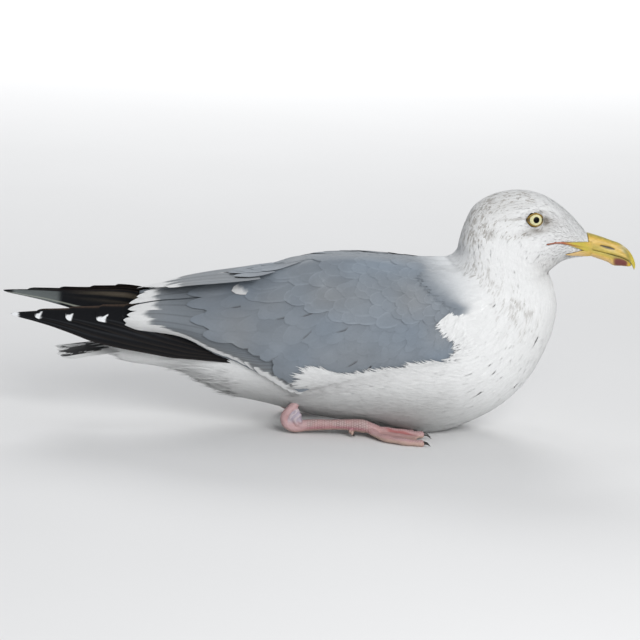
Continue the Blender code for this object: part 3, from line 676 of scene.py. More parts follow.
def tube(path, wide, deep, around=16, level=None):
    """A closed tube: an ellipse carried along a path, with its width level. Its first and
    last rings shrink to a point, so that its ends are closed and rounded."""
    path = np.asarray(path, float)
    way = unit(np.gradient(path, axis=0))
    level = unit(np.cross(way, (0, 0, 1)) if level is None else level + 0 * way)
    upright = np.cross(level, way)
    wide, deep = np.broadcast_to(wide, len(path)), np.broadcast_to(deep, len(path))
    ends = [path[0] - way[0] * wide[0] * 0.5, path[-1] + way[-1] * wide[-1] * 0.5]
    path = np.vstack([ends[0], ends[0], path, ends[1], ends[1]])
    pick = np.clip(np.arange(len(path)) - 2, 0, len(way) - 1)
    scale = np.ones(len(path))
    scale[[0, -1]], scale[[1, -2]] = 0.02, 0.6
    wide, deep = wide[pick] * scale, deep[pick] * scale
    angle = np.linspace(0, 2 * pi, around, endpoint=False)
    points = (
        path[:, None]
        + (wide[:, None] * np.cos(angle))[..., None] * level[pick][:, None]
        + (deep[:, None] * np.sin(angle))[..., None] * upright[pick][:, None]
    )
    return points.reshape(-1, 3), grid_quads(len(path), around)


class Nodes:
    """A material's node tree, written as plain calls."""

    def __init__(self, name):
        self.material = bpy.data.materials.new(name)
        self.material.use_nodes = True
        self.tree = self.material.node_tree
        self.shader = self.tree.nodes["Principled BSDF"]

    def add(self, kind, **settings):
        made = self.tree.nodes.new(f"ShaderNode{kind}")
        for key, value in settings.items():
            setattr(made, key, value)
        return made

    def link(self, source, target):
        self.tree.links.new(source, target)

    def feed(self, socket, value):
        """Links an output to a socket, or sets the socket to a number."""
        if isinstance(value, bpy.types.NodeSocket):
            self.link(value, socket)
        else:
            socket.default_value = value

    def math(self, operation, first, second=0, third=0):
        made = self.add("Math", operation=operation)
        for socket, value in zip(made.inputs, (first, second, third)):
            self.feed(socket, value)
        return made.outputs[0]

    def tint(self):
        return self.add("Attribute", attribute_name="tint").outputs["Color"]

    def noise(self, scale, detail=3, vector=None):
        made = self.add("TexNoise")
        self.feed(made.inputs["Scale"], scale)
        self.feed(made.inputs["Detail"], detail)
        coords = vector or self.add("TexCoord").outputs["Object"]
        self.link(coords, made.inputs["Vector"])
        return made.outputs["Fac"]

    def bump(self, height, strength, distance):
        made = self.add("Bump")
        made.inputs["Strength"].default_value = strength
        made.inputs["Distance"].default_value = distance
        self.link(height, made.inputs["Height"])
        self.link(made.outputs[0], self.shader.inputs["Normal"])

    def finish(self, factor, colour=None, **sockets):
        """The painted tint times a factor, or a colour of its own, and the shader's numbers."""
        colour = colour or self.tint()
        if factor is not None:
            scaled = self.add("VectorMath", operation="SCALE")
            self.link(colour, scaled.inputs[0])
            self.link(factor, scaled.inputs["Scale"])
            colour = scaled.outputs[0]
        self.link(colour, self.shader.inputs["Base Color"])
        for key, value in sockets.items():
            self.shader.inputs[key.replace("_", " ")].default_value = value
        return self.material


# Barbs of each plumage: spacing in millimetres, contrast; then roughness, sheen, specular.
PLUMAGE = {
    "white": (0.55, 0.045, 0.85, 0.1, 0.25),
    "grey": (0.8, 0.05, 0.7, 0.1, 0.25),
    "black": (0.9, 0.10, 0.7, 0, 0.10),
}


@lru_cache(maxsize=None)
def plumage_material(kind):
    """Barbs as a sine across lines that slant out from the shaft, over the painted tint,
    with a fine unevenness in the plumage."""
    barb_mm, contrast, roughness, sheen, specular = PLUMAGE[kind]
    nodes = Nodes(f"{kind}_plumage_barbs")
    parts = nodes.add("SeparateXYZ")
    nodes.link(nodes.add("UVMap", uv_map="vane").outputs[0], parts.inputs[0])
    across = nodes.math("ABSOLUTE", parts.outputs[0])
    slant = nodes.math("MULTIPLY_ADD", across, -1.7, parts.outputs[1])
    wobble = nodes.math("MULTIPLY", nodes.noise(180, 2), 1.6)
    slant = nodes.math("ADD", slant, wobble)
    barbs = nodes.math("SINE", nodes.math("MULTIPLY", slant, 2 * pi / barb_mm))
    uneven = nodes.math("MULTIPLY_ADD", nodes.noise(420, 4), contrast * 2.2, 1 - contrast * 1.1)
    factor = nodes.math("MULTIPLY_ADD", barbs, contrast, uneven)
    nodes.bump(barbs, 0.25, 0.00012)
    return nodes.finish(
        factor, Roughness=roughness, Sheen_Weight=sheen, Specular_IOR_Level=specular
    )


def skin_material(name, cell_mm, roughness, bump):
    """Bare skin: the painted tint with fine scales, each a cell with a darker rim."""
    nodes = Nodes(name)
    cells = nodes.add("TexVoronoi", feature="DISTANCE_TO_EDGE")
    cells.inputs["Scale"].default_value = 1000 / cell_mm
    nodes.link(nodes.add("TexCoord").outputs["Object"], cells.inputs["Vector"])
    edge = nodes.math("MULTIPLY", cells.outputs["Distance"], 4)
    edge = nodes.math("MINIMUM", edge, 1)
    factor = nodes.math("MULTIPLY_ADD", edge, 0.16, 0.80)
    factor = nodes.math("MULTIPLY_ADD", nodes.noise(260), 0.12, factor)
    nodes.bump(edge, bump, 0.0003)
    return nodes.finish(factor, Roughness=roughness, Specular_IOR_Level=0.4)


def horn_material(name, roughness, coat):
    """Horn: the painted tint with long faint streaks and a soft shine."""
    nodes = Nodes(name)
    place = nodes.add("Mapping")
    place.inputs["Scale"].default_value = (0.25, 1, 1)
    place.inputs["Rotation"].default_value = (0, radians(-20), 0)
    nodes.link(nodes.add("TexCoord").outputs["Object"], place.inputs["Vector"])
    streak = nodes.noise(700, 4, place.outputs[0])
    factor = nodes.math("MULTIPLY_ADD", streak, 0.24, 0.88)
    nodes.bump(streak, 0.12, 0.0003)
    return nodes.finish(factor, Roughness=roughness, Coat_Weight=coat, Coat_Roughness=0.25)


# --- Settings ---


def colour(name, description, value):
    return bpy.props.FloatVectorProperty(
        name=name, description=description, subtype="COLOR", size=3, min=0, max=1, default=value
    )


def number(name, description, value, low=0, high=100):
    return bpy.props.FloatProperty(
        name=name, description=description, default=value, min=low, max=high
    )


class GullColours(bpy.types.PropertyGroup):
    """Colours of the plumage and the bare parts."""

    white: colour("White", "White of the head, neck, breast and belly", (0.735, 0.74, 0.738))
    grey: colour("Mantle grey", "Grey of the back and the wings", (0.205, 0.232, 0.262))
    black: colour("Wing-tip black", "Black of the primaries", (0.006, 0.0065, 0.008))
    streak: colour("Streak brown", "Streaks of the winter head", (0.170, 0.138, 0.102))
    bill_yellow: colour("Bill yellow", "Yellow of the ridge and tip", (0.52, 0.42, 0.045))
    bill_buff: colour("Bill buff", "Buff of the bill's base", (0.57, 0.375, 0.07))
    bill_olive: colour("Bill olive", "Olive along the cutting edges", (0.25, 0.215, 0.035))
    bill_red: colour("Bill red", "Spot near the tip of the lower bill", (0.125, 0.014, 0.022))
    gape: colour("Gape red", "Skin at the corner of the mouth", (0.42, 0.12, 0.045))
    iris: colour("Iris yellow", "Pale yellow of the iris", (0.65, 0.62, 0.36))
    orbit: colour("Eye-ring ochre", "Bare ring round the eye", (0.27, 0.165, 0.02))
    leg: colour("Leg pink", "Flesh pink of legs and feet", (0.50, 0.33, 0.335))
    claw: colour("Claw black", "Horn of the claws", (0.03, 0.027, 0.025))


class GullSizes(bpy.types.PropertyGroup):
    """Sizes of the plumage, in millimetres."""

    head_tuft: number("Head tuft", "Length of a tuft on the crown, in millimetres", 5.2, 1, 20)
    head_gap: number("Head spacing", "Distance between tufts on the head", 1.25, 0.8, 10)
    neck_tuft: number("Neck tuft", "Length of a tuft on the neck", 9.5, 1, 30)
    neck_gap: number("Neck spacing", "Distance between tufts on the neck", 1.7, 1, 10)
    breast_tuft: number("Breast tuft", "Length of a tuft on the breast", 17, 1, 40)
    breast_gap: number("Breast spacing", "Distance between tufts on the breast", 2.9, 1, 10)
    head_depth: number("Head coat depth", "How far the skin lies inside the head", 1.5, 0.5, 10)
    body_depth: number("Body coat depth", "How far the skin lies inside the trunk", 4, 1, 20)


def tones():
    """The chosen colours as arrays."""
    settings = bpy.context.scene.gull_colours
    return {key: np.array(getattr(settings, key)) for key in GullColours.__annotations__}


# --- Markings shared by skin and coat ---

# Where the white head and neck are streaked: x, |y|, z, reaches, strength.
STREAKED = (
    (168, 8, 221, 26, 18, 9, 0.42),  # crown
    (148, 14, 210, 15, 18, 13, 0.62),  # back of the crown
    (133, 20, 186, 12, 26, 24, 0.66),  # nape
    (140, 27, 152, 16, 20, 10, 0.62),  # side of the hind neck
    (151, 20, 189, 8, 14, 7, 0.6),  # ear
    (162, 32, 136, 14, 20, 15, 0.56),  # side of the neck
    (178, 42, 113, 21, 20, 18, 0.46),  # upper breast
    (181, 20, 188.5, 13, 12, 3.6, 0.52),  # below the eye
    (170, 22, 196, 14, 12, 8, 0.34),
    (188, 12, 215, 12, 14, 5, 0.36),  # over the brow
)
# Plain dark patches: x, |y|, z, reaches, strength. Those on the lores, under the brow, on the
# throat and on the breast are painted shade; the rest are dark feathering round the eye and
# the ear.
DARK_FEATHERS_AND_PAINTED_SHADE = (
    (201.6, 18, 200.2, 4.4, 9, 3.9, 1.15),  # before the eye
    (209, 14, 197, 9, 9, 6, 0.28),  # lores
    (194, 19, 192.2, 9, 9, 2.3, 0.8),  # under the eye
    (184, 21, 188.8, 9, 9, 2.6, 0.2),
    (173, 22, 202.4, 9.5, 8, 0.9, 0.62),  # line behind the eye
    (197, 20, 207.6, 6, 9, 1.5, 0.55),  # under the brow
    (166, 16, 213, 18, 10, 6, 0.12),
    (151.4, 22, 189.5, 3.6, 9, 3.4, 0.42),  # ear
    (205, 10, 158, 20, 25, 11, 0.24),  # throat
    (206, 26, 92, 34, 40, 30, 0.07),  # breast
)


def patches(points, table):
    """Sum of soft spots: strength * exp(-distance^2), mirrored on both sides."""
    folded = points * (1, 0, 1) + np.abs(points) * (0, 1, 0)
    total = 0
    for *centre, rx, ry, rz, strength in table:
        gap = (folded - centre) / (rx, ry, rz)
        total = total + strength * np.exp(-dot(gap, gap))
    return total


# Front edge of the grey back: z, x, and how softly it fades there.
GREY_EDGE_Z = (104, 110, 113, 116, 119, 124, 130, 137, 150, 163)
GREY_EDGE_X = (106, 101, 105, 117, 128, 131, 122, 113, 101, 94)
GREY_SOFT = (3, 3, 3, 5, 6, 9, 17, 22, 20, 14)


def greyness(points):
    """1 on the back and shoulders and 0 on the white parts, with a soft edge between."""
    x, z = points[..., 0], points[..., 2]
    edge = np.interp(z, GREY_EDGE_Z, GREY_EDGE_X)
    soft = np.interp(z, GREY_EDGE_Z, GREY_SOFT)
    wander = 5 * (noise(points, 9, 3) - 0.5)
    front = smooth((edge - x + wander) / soft, -1, 1)
    return front * smooth(z, 106, 112) * smooth(x, -128, -108)


# Turns the streaks of the neck down and back, and draws them out.
LEAN = np.array(((0.9, 0, 0.17), (0, 0.9, 0), (0.42, 0, 0.36)))


def markings(points, tone, grey=True):
    """Colour of the body at points: white, grey on the back if asked for, and brown streaks
    on the head and neck, where noise rises over what their table leaves of it. Over these
    lie dark patches round the eye and the ear, and painted shade on the lores, under the
    brow, on the throat, on the breast and under the body."""
    shape, points = points.shape, points.reshape(-1, 3)
    cluster, amount = noise(points, 7, 5), patches(points, STREAKED)
    # Streaks run back over the crown and down the neck.
    over = noise(points * (0.38, 1, 1), 1.05, 6)
    down = noise(points @ LEAN, 1.15, 7)
    level = smooth(points[:, 2], 184, 204)
    grain = over * level + down * (1 - level)
    streak = smooth(0.16 * cluster + 0.84 * grain + 0.40 * amount - 0.76, 0, 0.14)
    paint = mix(tone["white"], tone["streak"], 0.66 * streak * smooth(amount, 0.04, 0.3))
    # Dark feathering round the eye and the ear, and painted shade on the lores, under the brow, on
    # the throat and on the breast.
    paint = mix(paint, tone["streak"] * 0.8, np.clip(patches(points, DARK_FEATHERS_AND_PAINTED_SHADE), 0, 0.88))
    x, z = points[:, 0], points[:, 2]
    paint = mix(paint, (0.43, 0.42, 0.40), 0.27 * patches(points, STREAKED[:2]))
    # Painted shade on the underside: the belly and lower breast grow greyer towards the bottom.
    under = smooth(70 - z, 0, 50) * smooth(175 - x, 0, 80)
    paint = mix(paint, (0.30, 0.305, 0.30), 0.72 * under)
    if grey:
        veil = smooth(-x, -152, -98) * smooth(z, 118, 138) * (z < 176)
        paint = mix(paint, tone["grey"] * 1.9, 0.32 * veil)
        paint = mix(paint, tone["grey"], greyness(points))
    return paint.reshape(shape)


def vary(paint, rng, amount):
    """Lightens or darkens each vane as a whole by its own random share."""
    shift = 1 + amount * rng.normal(size=(paint.shape[0],) + (1,) * (paint.ndim - 1))
    return paint * np.clip(shift, 0.6, 1.4)


# --- Skin with legs and feet ---


def coat_depth(place):
    """Depth of the coat along the body: thin at the bill, deep on the trunk."""
    sizes = bpy.context.scene.gull_sizes
    stops = (0, 1, 4, 10, 12.5, 14.5, 18, BODY_END)
    body, head = sizes.body_depth, sizes.head_depth
    return np.interp(place, stops, (1, 3, body, body, 0.55 * body, head, head, 0.5))


def body_skin():
    """The body's surface moved inwards by the coat's depth, closed at both ends."""
    place = np.linspace(0, BODY_END, 190)
    angle = np.linspace(0, 2 * pi, 120, endpoint=False)
    uu, vv = np.meshgrid(place, angle, indexing="ij")
    points, normal = body_sheet().frame(uu, vv)[:2]
    return capped(points - normal * coat_depth(uu)[..., None])


def mirrored(point, sign):
    return np.array(point, float) * (1, sign, 1)


def toe_path(name, sign, f):
    """Points along a toe, from the knuckle down to its tip on the floor."""
    tip, _, drop = TOES[name]
    centre, end = mirrored(FOOT_CENTRE, sign), mirrored(tip, sign)
    path = centre + f[:, None] * (end - centre)
    path[:, 1] = centre[1] + (end[1] - centre[1]) * (1 - (1 - f) ** (0.7 + 0.3 * drop))
    path[:, 2] = end[2] + (centre[2] - end[2]) * (1 - f) ** drop + 0.7 * np.sin(pi * f) ** 2
    return path


def leg_solids(side):
    """The pieces a leg is blended from: heel, tarsus, knuckle, toes and web."""
    sign = SIDES[side]
    solids = []
    level = np.array((0, 1, 0))
    for table, across in ((HEEL_ARC, level), (HEEL_FOLD, level), (TARSUS, None)):
        rows = spline(table * (1, sign, 1, 1, 1), np.linspace(0, len(table) - 1, 44))
        solids.append(tube(rows[:, :3], rows[:, 3], rows[:, 4], around=24, level=across))
    f = np.linspace(0, 1, 40)
    for name, (_, radius, _) in TOES.items():
        girth = radius + (3.6 - radius) * (1 - f) ** 2 + 0.36 * np.cos(6 * pi * f)
        solids.append(tube(toe_path(name, sign, f), girth, girth * 0.9))
    ends = [mirrored(point, sign) for point in HIND_TOE]
    solids.append(tube(np.linspace(*ends, 8), np.linspace(2.6, 1.1, 8), np.linspace(2.8, 1.2, 8)))
    return [*solids, web_solid(sign)]


def web_solid(sign):
    """The web: lines between neighbouring toes, which sag and end short between them, with
    shallow pleats, as a closed plate."""
    f = np.linspace(0.1, 0.98, 30)
    toes = np.stack([toe_path(name, sign, f) for name in TOES])
    place = np.linspace(0, 2, 61)
    first = np.minimum(place.astype(int), 1)
    share = (place - first)[:, None, None]
    top = toes[first] * (1 - share) + toes[first + 1] * share
    between = np.sin(pi * share[..., 0])
    shorter = 0.1 * between[..., None] * f[None, :, None] ** 6
    top = top + (mirrored(FOOT_CENTRE, sign) * (1, 1, 0) - top * (1, 1, 0)) * shorter
    top[..., 2] += 0.9 - 0.8 * between + 0.3 * np.sin(place * 16)[:, None] * np.sin(pi * f)[None]
    top = top.transpose(1, 0, 2)
    under = top.copy()
    under[..., 2] = np.maximum(top[..., 2] - 2.6, 0.3)
    middle = (top + under)[[0, -1]] / 2
    top = np.concatenate([middle[:1], top, middle[1:]])
    under = np.concatenate([middle[:1], under, middle[1:]])
    ring = np.concatenate([top, under[:, ::-1]], axis=1)
    return ring.reshape(-1, 3), grid_quads(*ring.shape[:2])


def blended(name, solids, voxel_mm):
    """One smooth closed mesh round overlapping solids, by remeshing them with voxels.
    Gives its points in millimetres, its faces and its normals."""
    bm = bmesh.new()
    for points, faces in solids:
        verts = [bm.verts.new(p) for p in (np.asarray(points) * MM).tolist()]
        for face in faces.tolist():
            bm.faces.new([verts[i] for i in face])
    bmesh.ops.remove_doubles(bm, verts=bm.verts, dist=1e-6)
    bmesh.ops.recalc_face_normals(bm, faces=bm.faces)
    mesh = bpy.data.meshes.new(name)
    bm.to_mesh(mesh)
    bm.free()
    obj = bpy.data.objects.new(name, mesh)
    bpy.context.scene.collection.objects.link(obj)
    remesh = obj.modifiers.new("remesh", "REMESH")
    remesh.mode, remesh.voxel_size = "VOXEL", voxel_mm * MM
    smoothing = obj.modifiers.new("smooth", "SMOOTH")
    smoothing.factor, smoothing.iterations = 0.5, 3
    made = bpy.data.meshes.new_from_object(
        obj.evaluated_get(bpy.context.evaluated_depsgraph_get())
    )
    bpy.data.objects.remove(obj)

    def got(items, key, each, kind=float):
        values = np.zeros(len(items) * each, kind)
        items.foreach_get(key, values)
        return values.reshape(-1, each)

    if (got(made.polygons, "loop_total", 1, np.int32) != 4).any():
        raise RuntimeError("the voxel remesh was expected to give only four-cornered faces")
    corners = got(made.loops, "vertex_index", 1, np.int32).reshape(-1, 4)
    return got(made.vertices, "co", 3) / MM, corners, got(made.vertices, "normal", 3)


def leg_skin(side, tone):
    """A leg and foot with small scutes round the tarsus and bars over the toes: low ridges
    whose height falls towards the edges of cells along and round the limb. The heel is
    folded, with a bare arc round it."""
    points, faces, normals = blended(f"leg_{side}", leg_solids(side), 0.6)
    folded = points * (1, SIDES[side], 1)
    x, y, z = folded.T
    upper = smooth(normals[:, 2], -0.1, 0.5)
    line = np.stack([np.interp(x, TARSUS[:, 0], TARSUS[:, k]) for k in (1, 2, 4)])
    around = np.arctan2(z - line[1], y - line[0])
    tarsus = smooth(x, -15, -8) * smooth(-x, -50, -44)
    run = x / 2.2
    cell_at = around * 4.9 / 2.2 + 0.5 * (np.floor(run) % 2)
    cell = 2 * np.maximum(np.abs(run % 1 - 0.5), np.abs(cell_at % 1 - 0.5))
    seam = smooth(cell, 0.55, 0.95) * tarsus
    on_foot = smooth(x, 46, 54)
    out = np.hypot(x - FOOT_CENTRE[0], y - FOOT_CENTRE[1])
    on_toe = np.zeros(len(x))
    for name in TOES:
        path = toe_path(name, 1, np.linspace(0, 1, 30))
        gap = np.abs(y - np.interp(x, path[:, 0], path[:, 1]))
        on_toe = np.maximum(on_toe, 1 - smooth(gap, 1.8, 3.4))
    bars = smooth(np.abs((out / 2.1) % 1 - 0.5) * 2, 0.55, 0.95) * on_foot * on_toe * upper
    swirl = np.hypot(x + 17.5, z - 12.5)
    inner = smooth(-swirl, -12.5, -10.5) * (x < -15.5) * smooth(z, 5.5, 8)
    folds = np.sin(1.25 * swirl + 4.5 * noise(points, 3.4, 8)) * inner
    ridge = -0.22 * seam - 0.2 * bars + 0.38 * folds + 0.2 * (noise(points, 1.5, 9) - 0.5)
    points = points + normals * ridge[:, None]
    points[:, 2] = np.where(points[:, 2] < 0.25, 0.02, points[:, 2])
    height = (z - line[1]) / line[2]
    paint = mix(tone["leg"], (0.50, 0.39, 0.375), 0.75 * tarsus * smooth(height, -0.35, 0.1))
    pink = bell(height, -0.42, 0.26) * smooth(x, -18, -6) * smooth(-x, -46, -38)
    paint = mix(paint, (0.45, 0.20, 0.24), 0.85 * pink)
    buff = (1 - smooth(height, -0.85, -0.6)) * smooth(x, -18, -6)
    paint = mix(paint, (0.50, 0.37, 0.27), 0.6 * buff)
    paint = mix(paint, paint * (0.5, 0.4, 0.4), 0.9 * seam + 0.7 * bars)
    paint = mix(paint, (0.48, 0.26, 0.26), 0.4 * smooth(noise(points, 5, 4), 0.4, 0.8))
    # On the heel: lilac skin, painted lighter on the raised folds and darker between them, with dark
    # red deep in the lower troughs: painted light and shade on the folds.
    lilac = mix((0.40, 0.36, 0.43), (0.52, 0.46, 0.49), smooth(folds, -0.5, 0.9))
    paint = mix(paint, lilac, 0.9 * inner * smooth(z, 8, 14))
    paint = mix(paint, (0.33, 0.16, 0.15), 0.7 * inner * smooth(-folds, 0.5, 1) * smooth(-z, -14, -9))
    paint = mix(paint, (0.45, 0.27, 0.25), 0.55 * on_foot * (1 - on_toe) * upper)
    # Painted shade: a dark red line along the gap between the middle toe and the web beside it.
    toe_gap_shade = np.abs(y - 53.5 - (x - 60) * 0.14)
    toe_gap_shade = (1 - smooth(toe_gap_shade, 0.5, 1.5)) * smooth(x, 58, 64) * smooth(-x, -90, -80) * upper
    paint = mix(paint, (0.36, 0.10, 0.10), 0.85 * toe_gap_shade)
    paint = mix(paint, (0.42, 0.29, 0.24), 0.6 * smooth(-normals[:, 2], 0.2, 0.8))
    feathered = smooth(z, 26, 33) * smooth(x, -25, -18)
    return points, faces, mix(paint, tone["white"], feathered)


def lid_ring(side, tone):
    """The bare lids: a ring whose inner edge is an oval and whose outer edge is drawn out
    to a corner before and behind the eye, with a rounded section between them."""
    sign = SIDES[side]
    turn = np.linspace(0, 2 * pi, 72, endpoint=False)
    section = np.linspace(0, 2 * pi, 10, endpoint=False)
    tt, ss = np.meshgrid(turn, section, indexing="ij")
    corner = np.abs(np.cos(tt)) ** 6
    inner = np.stack([6.2 * np.cos(tt), 4.8 * power(np.sin(tt), 1.15)])
    outer = np.stack([(7.9 + 0.9 * corner) * np.cos(tt), 6.4 * power(np.sin(tt), 1.15)])
    f = 0.5 - 0.5 * np.cos(ss)
    flat = inner * (1 - f) + outer * f
    centre, right, up, out = eye_frame(sign)
    dome = np.sqrt(np.maximum(1 - (flat**2).sum(axis=0) / 9.4**2, 0.05))
    depth = EYE_FRONT * dome - 0.75 + 0.62 * np.sin(ss) - 0.25 * corner
    points = centre + flat[0][..., None] * right + flat[1][..., None] * up + depth[..., None] * out
    dark = np.clip(0.75 * (1 - smooth(f, 0, 0.22)) + 0.7 * corner**2, 0, 0.9)
    paint = mix(tone["orbit"], (0.02, 0.016, 0.012), dark)
    paint = paint * (0.8 + 0.4 * noise(points, 0.9, 2))[..., None]
    faces = grid_quads(len(turn) + 1, len(section)) % tt.size
    return points.reshape(-1, 3), faces, paint.reshape(-1, 3)


EYE_FRONT = 5.6  # how far the front of the eye stands out from its centre


def eye_frame(sign):
    """Centre of an eye and its axes: backwards along the head, up, and out."""
    centre = EYE_CENTRE * (1, sign, 1)
    turn = radians(EYE_TURN)
    out = unit(np.array((sin(turn), sign * cos(turn), 0.10)))
    up = unit((0, 0, 1) - out * out[2])
    return centre, np.cross(up, out) * sign, up, out


class GULL_OT_skin(bpy.types.Operator):
    """Make the skin of the body with lids, legs and feet, in one piece"""

    bl_idname = "gull.skin"
    bl_label = "Skin"

    def execute(self, context):
        tone, skin = tones(), body_skin()
        parts = [part_of(skin, markings(skin, tone) * 0.9)]
        for side in SIDES:
            parts += [lid_ring(side, tone), leg_skin(side, tone)]
        mesh = joined("skin", parts)
        bare = np.arange(len(mesh.polygons)) >= len(parts[0][1])
        mesh.polygons.foreach_set("material_index", bare.astype(np.int32))
        materials = [
            skin_material("feathered_skin", 2, 0.8, 0.2),
            skin_material("bare_skin", 0.9, 0.42, 0.35),
        ]
        add_piece("skin", mesh, materials, ("head", "neck", "trunk", *LEG_NODES))
        return {"FINISHED"}


# --- Eyes ---


def eyeball(sign, tone):
    """A flattened ball turned outwards. Its colour depends on the distance from its axis:
    pupil, iris with faint spokes and a dark rim, then near black."""
    centre, right, up, out = eye_frame(sign)
    polar = np.linspace(0.002, pi - 0.002, 60)
    turn = np.linspace(0, 2 * pi, 96, endpoint=False)
    pp, tt = np.meshgrid(polar, turn, indexing="ij")
    radius = 7.5 * np.sin(pp)
    flat = radius[..., None] * (np.cos(tt)[..., None] * right + np.sin(tt)[..., None] * up)
    points = centre + flat + (EYE_FRONT * np.cos(pp))[..., None] * out
    reach = np.where(pp < pi / 2, radius, 9)
    spokes = noise(np.stack([6 * np.cos(tt), 6 * np.sin(tt), radius * 0.3], axis=-1), 0.7, 7)
    iris = tone["iris"] * (0.84 + 0.3 * spokes)[..., None]
    paint = mix((0.004, 0.004, 0.004), iris, smooth(reach, 2.8, 3))
    paint = mix(paint, (0.10, 0.085, 0.03), smooth(reach, 5.6, 6))
    paint = mix(paint, (0.03, 0.025, 0.02), smooth(reach, 6, 6.4))
    return part_of(points, paint)


class GULL_OT_eyes(bpy.types.Operator):
    """Make both eyes, with pupil and pale iris"""

    bl_idname = "gull.eyes"
    bl_label = "Eyes"

    def execute(self, context):
        material = Nodes("eye_gloss").finish(
            None, Roughness=0.08, Coat_Weight=0, Specular_IOR_Level=0.05
        )
        for side, sign in SIDES.items():
            part = eyeball(sign, tones())
            solid_piece(f"eyeball_{side}", [part], material, [f"eye_{side}"])
        return {"FINISHED"}


# --- Bill ---


def mandible(table, keel, tone):
    """One half of the bill: an arch carried along the table, from its cutting edge up or
    down to its ridge, with the nostril pressed in on both sides of the upper one. Its
    colours are worked out from the share along it and from edge to ridge."""
    f = np.linspace(0, 1, 90)
    angle = np.linspace(0, pi, 49)
    rows = spline(table, f * (len(table) - 1))
    ridge, edge = (rows[:, 0:2], rows[:, 2:4]) if keel > 0 else (rows[:, 2:4], rows[:, 0:2])
    towards = np.sin(angle) ** (0.78 if keel > 0 else 0.72)
    flat = edge[:, None] + towards[None, :, None] * (ridge - edge)[:, None]
    wide = -rows[:, 4:5] * power(np.cos(angle), 0.82)[None]
    points = np.stack([flat[..., 0], wide, flat[..., 1]], axis=-1)
    x, z = points[..., 0], points[..., 2]
    paint = upper_colours(x, z, towards, f, tone) if keel > 0 else lower_colours(towards, f, tone)
    if keel > 0:
        along = ((x - 252.8) * 14.2 + (z - 177.2) * -3.6) / (14.2**2 + 3.6**2)
        off = ((x - 252.8) * 3.6 + (z - 177.2) * 14.2) / np.hypot(14.2, 3.6)
        lens = 0.12 + 1.15 * np.clip(along * (1.12 - along) * 3.2, 0, 1) ** 0.8
        slit = bell(off, 0, lens, 4) * smooth(along, -0.06, 0.06)
        slit = slit * smooth(-along, -1.08, -0.98) * (np.abs(wide) > 1.5)
        trough = bell(off, 0, 2.6) * smooth(along, -0.35, 0.1) * smooth(-along, -1.3, -0.8)
        points[..., 1] *= 1 - 0.07 * slit - 0.05 * trough
        paint = mix(paint, (0.01, 0.008, 0.006), 0.96 * slit)
    points = capped(points)
    paint = np.concatenate([paint[:1], paint, paint[-1:]])
    # A face closes each half between its cutting edges; it is painted half as bright, as painted
    # shade between the two halves.
    middle = points[:, [0, -1]].mean(axis=1)[:, None]
    points = np.concatenate([points, middle], axis=1)
    return part_of(points, np.concatenate([paint, paint[:, :1] * 0.5], axis=1))


def upper_colours(x, z, towards, f, tone):
    """Buff side under an olive-yellow ridge, a pale patch and an olive slant behind the
    yellow hook, a dark line along the cutting edge with a yellow one over it, and a pale
    point."""
    t, f = np.meshgrid(towards, f)
    ochre = np.array((0.40, 0.32, 0.06))
    paint = mix(tone["bill_buff"], ochre, smooth(t, 0.80, 0.97) * (1 - smooth(f, 0.4, 0.55)))
    low = (1 - smooth(t, 0.25, 0.5)) * (1 - smooth(f, 0.3, 0.5))
    paint = mix(paint, ochre * 1.15, 0.8 * low)
    paint = mix(paint, tone["bill_yellow"], smooth(f + 0.10 * t, 0.56, 0.72))
    pale = bell(f + 0.06 * t, 0.50, 0.06) * smooth(t, 0.4, 0.6)
    paint = mix(paint, (0.60, 0.54, 0.36), 0.75 * pale)
    slant = bell(f + 0.24 * t, 0.66, 0.075) * (1 - smooth(t, 0.75, 0.95))
    paint = mix(paint, tone["bill_olive"], 0.85 * slant)
    line = bell(t, 0.24, 0.08) * smooth(f, 0.2, 0.3) * (1 - smooth(f, 0.48, 0.6))
    paint = mix(paint, (0.66, 0.50, 0.16), 0.8 * line)
    edge = (1 - smooth(t, 0.05, 0.18)) * smooth(f, 0.25, 0.5)
    paint = mix(paint, tone["bill_olive"] * 0.5, 0.85 * edge)
    grain = noise(np.stack([x * 0.35, 0 * x, z], axis=-1), 0.8, 12)
    paint = paint * (0.84 + 0.30 * grain)[..., None]
    return mix(paint, (0.56, 0.56, 0.40), 0.85 * smooth(f - 0.04 * t, 0.84, 0.95))


def lower_colours(towards, f, tone):
    """Buff side with an olive-yellow edge above, the red spot, and a yellow point."""
    t, f = np.meshgrid(towards, f)
    side = smooth(t, 0.3, 0.8) * (1 - smooth(f, 0.4, 0.6))
    paint = mix(tone["bill_buff"], LOWER_BUFF, side)
    paint = mix(paint, (0.40, 0.34, 0.06), (1 - smooth(t, 0.15, 0.5)) * 0.8)
    edge = (1 - smooth(t, 0, 0.12)) * smooth(f, 0.2, 0.45)
    paint = mix(paint, tone["bill_olive"] * 0.6, 0.7 * edge)
    paint = mix(paint, tone["bill_yellow"] * (1, 0.85, 0.3), smooth(f, 0.80, 0.88))
    grain = noise(np.stack([f * 20, t * 8, 0 * f], axis=-1), 0.7, 13)
    paint = paint * (0.86 + 0.28 * grain)[..., None]
    spot = bell(f, 0.645, 0.17, 4) * bell(t, 0.56, 0.44, 4)
    paint = mix(paint, tone["bill_red"], 0.95 * smooth(spot, 0.05, 0.9))
    return mix(paint, (0.55, 0.54, 0.38), 0.8 * smooth(f, 0.95, 0.99))


LOWER_BUFF = (0.62, 0.42, 0.17)

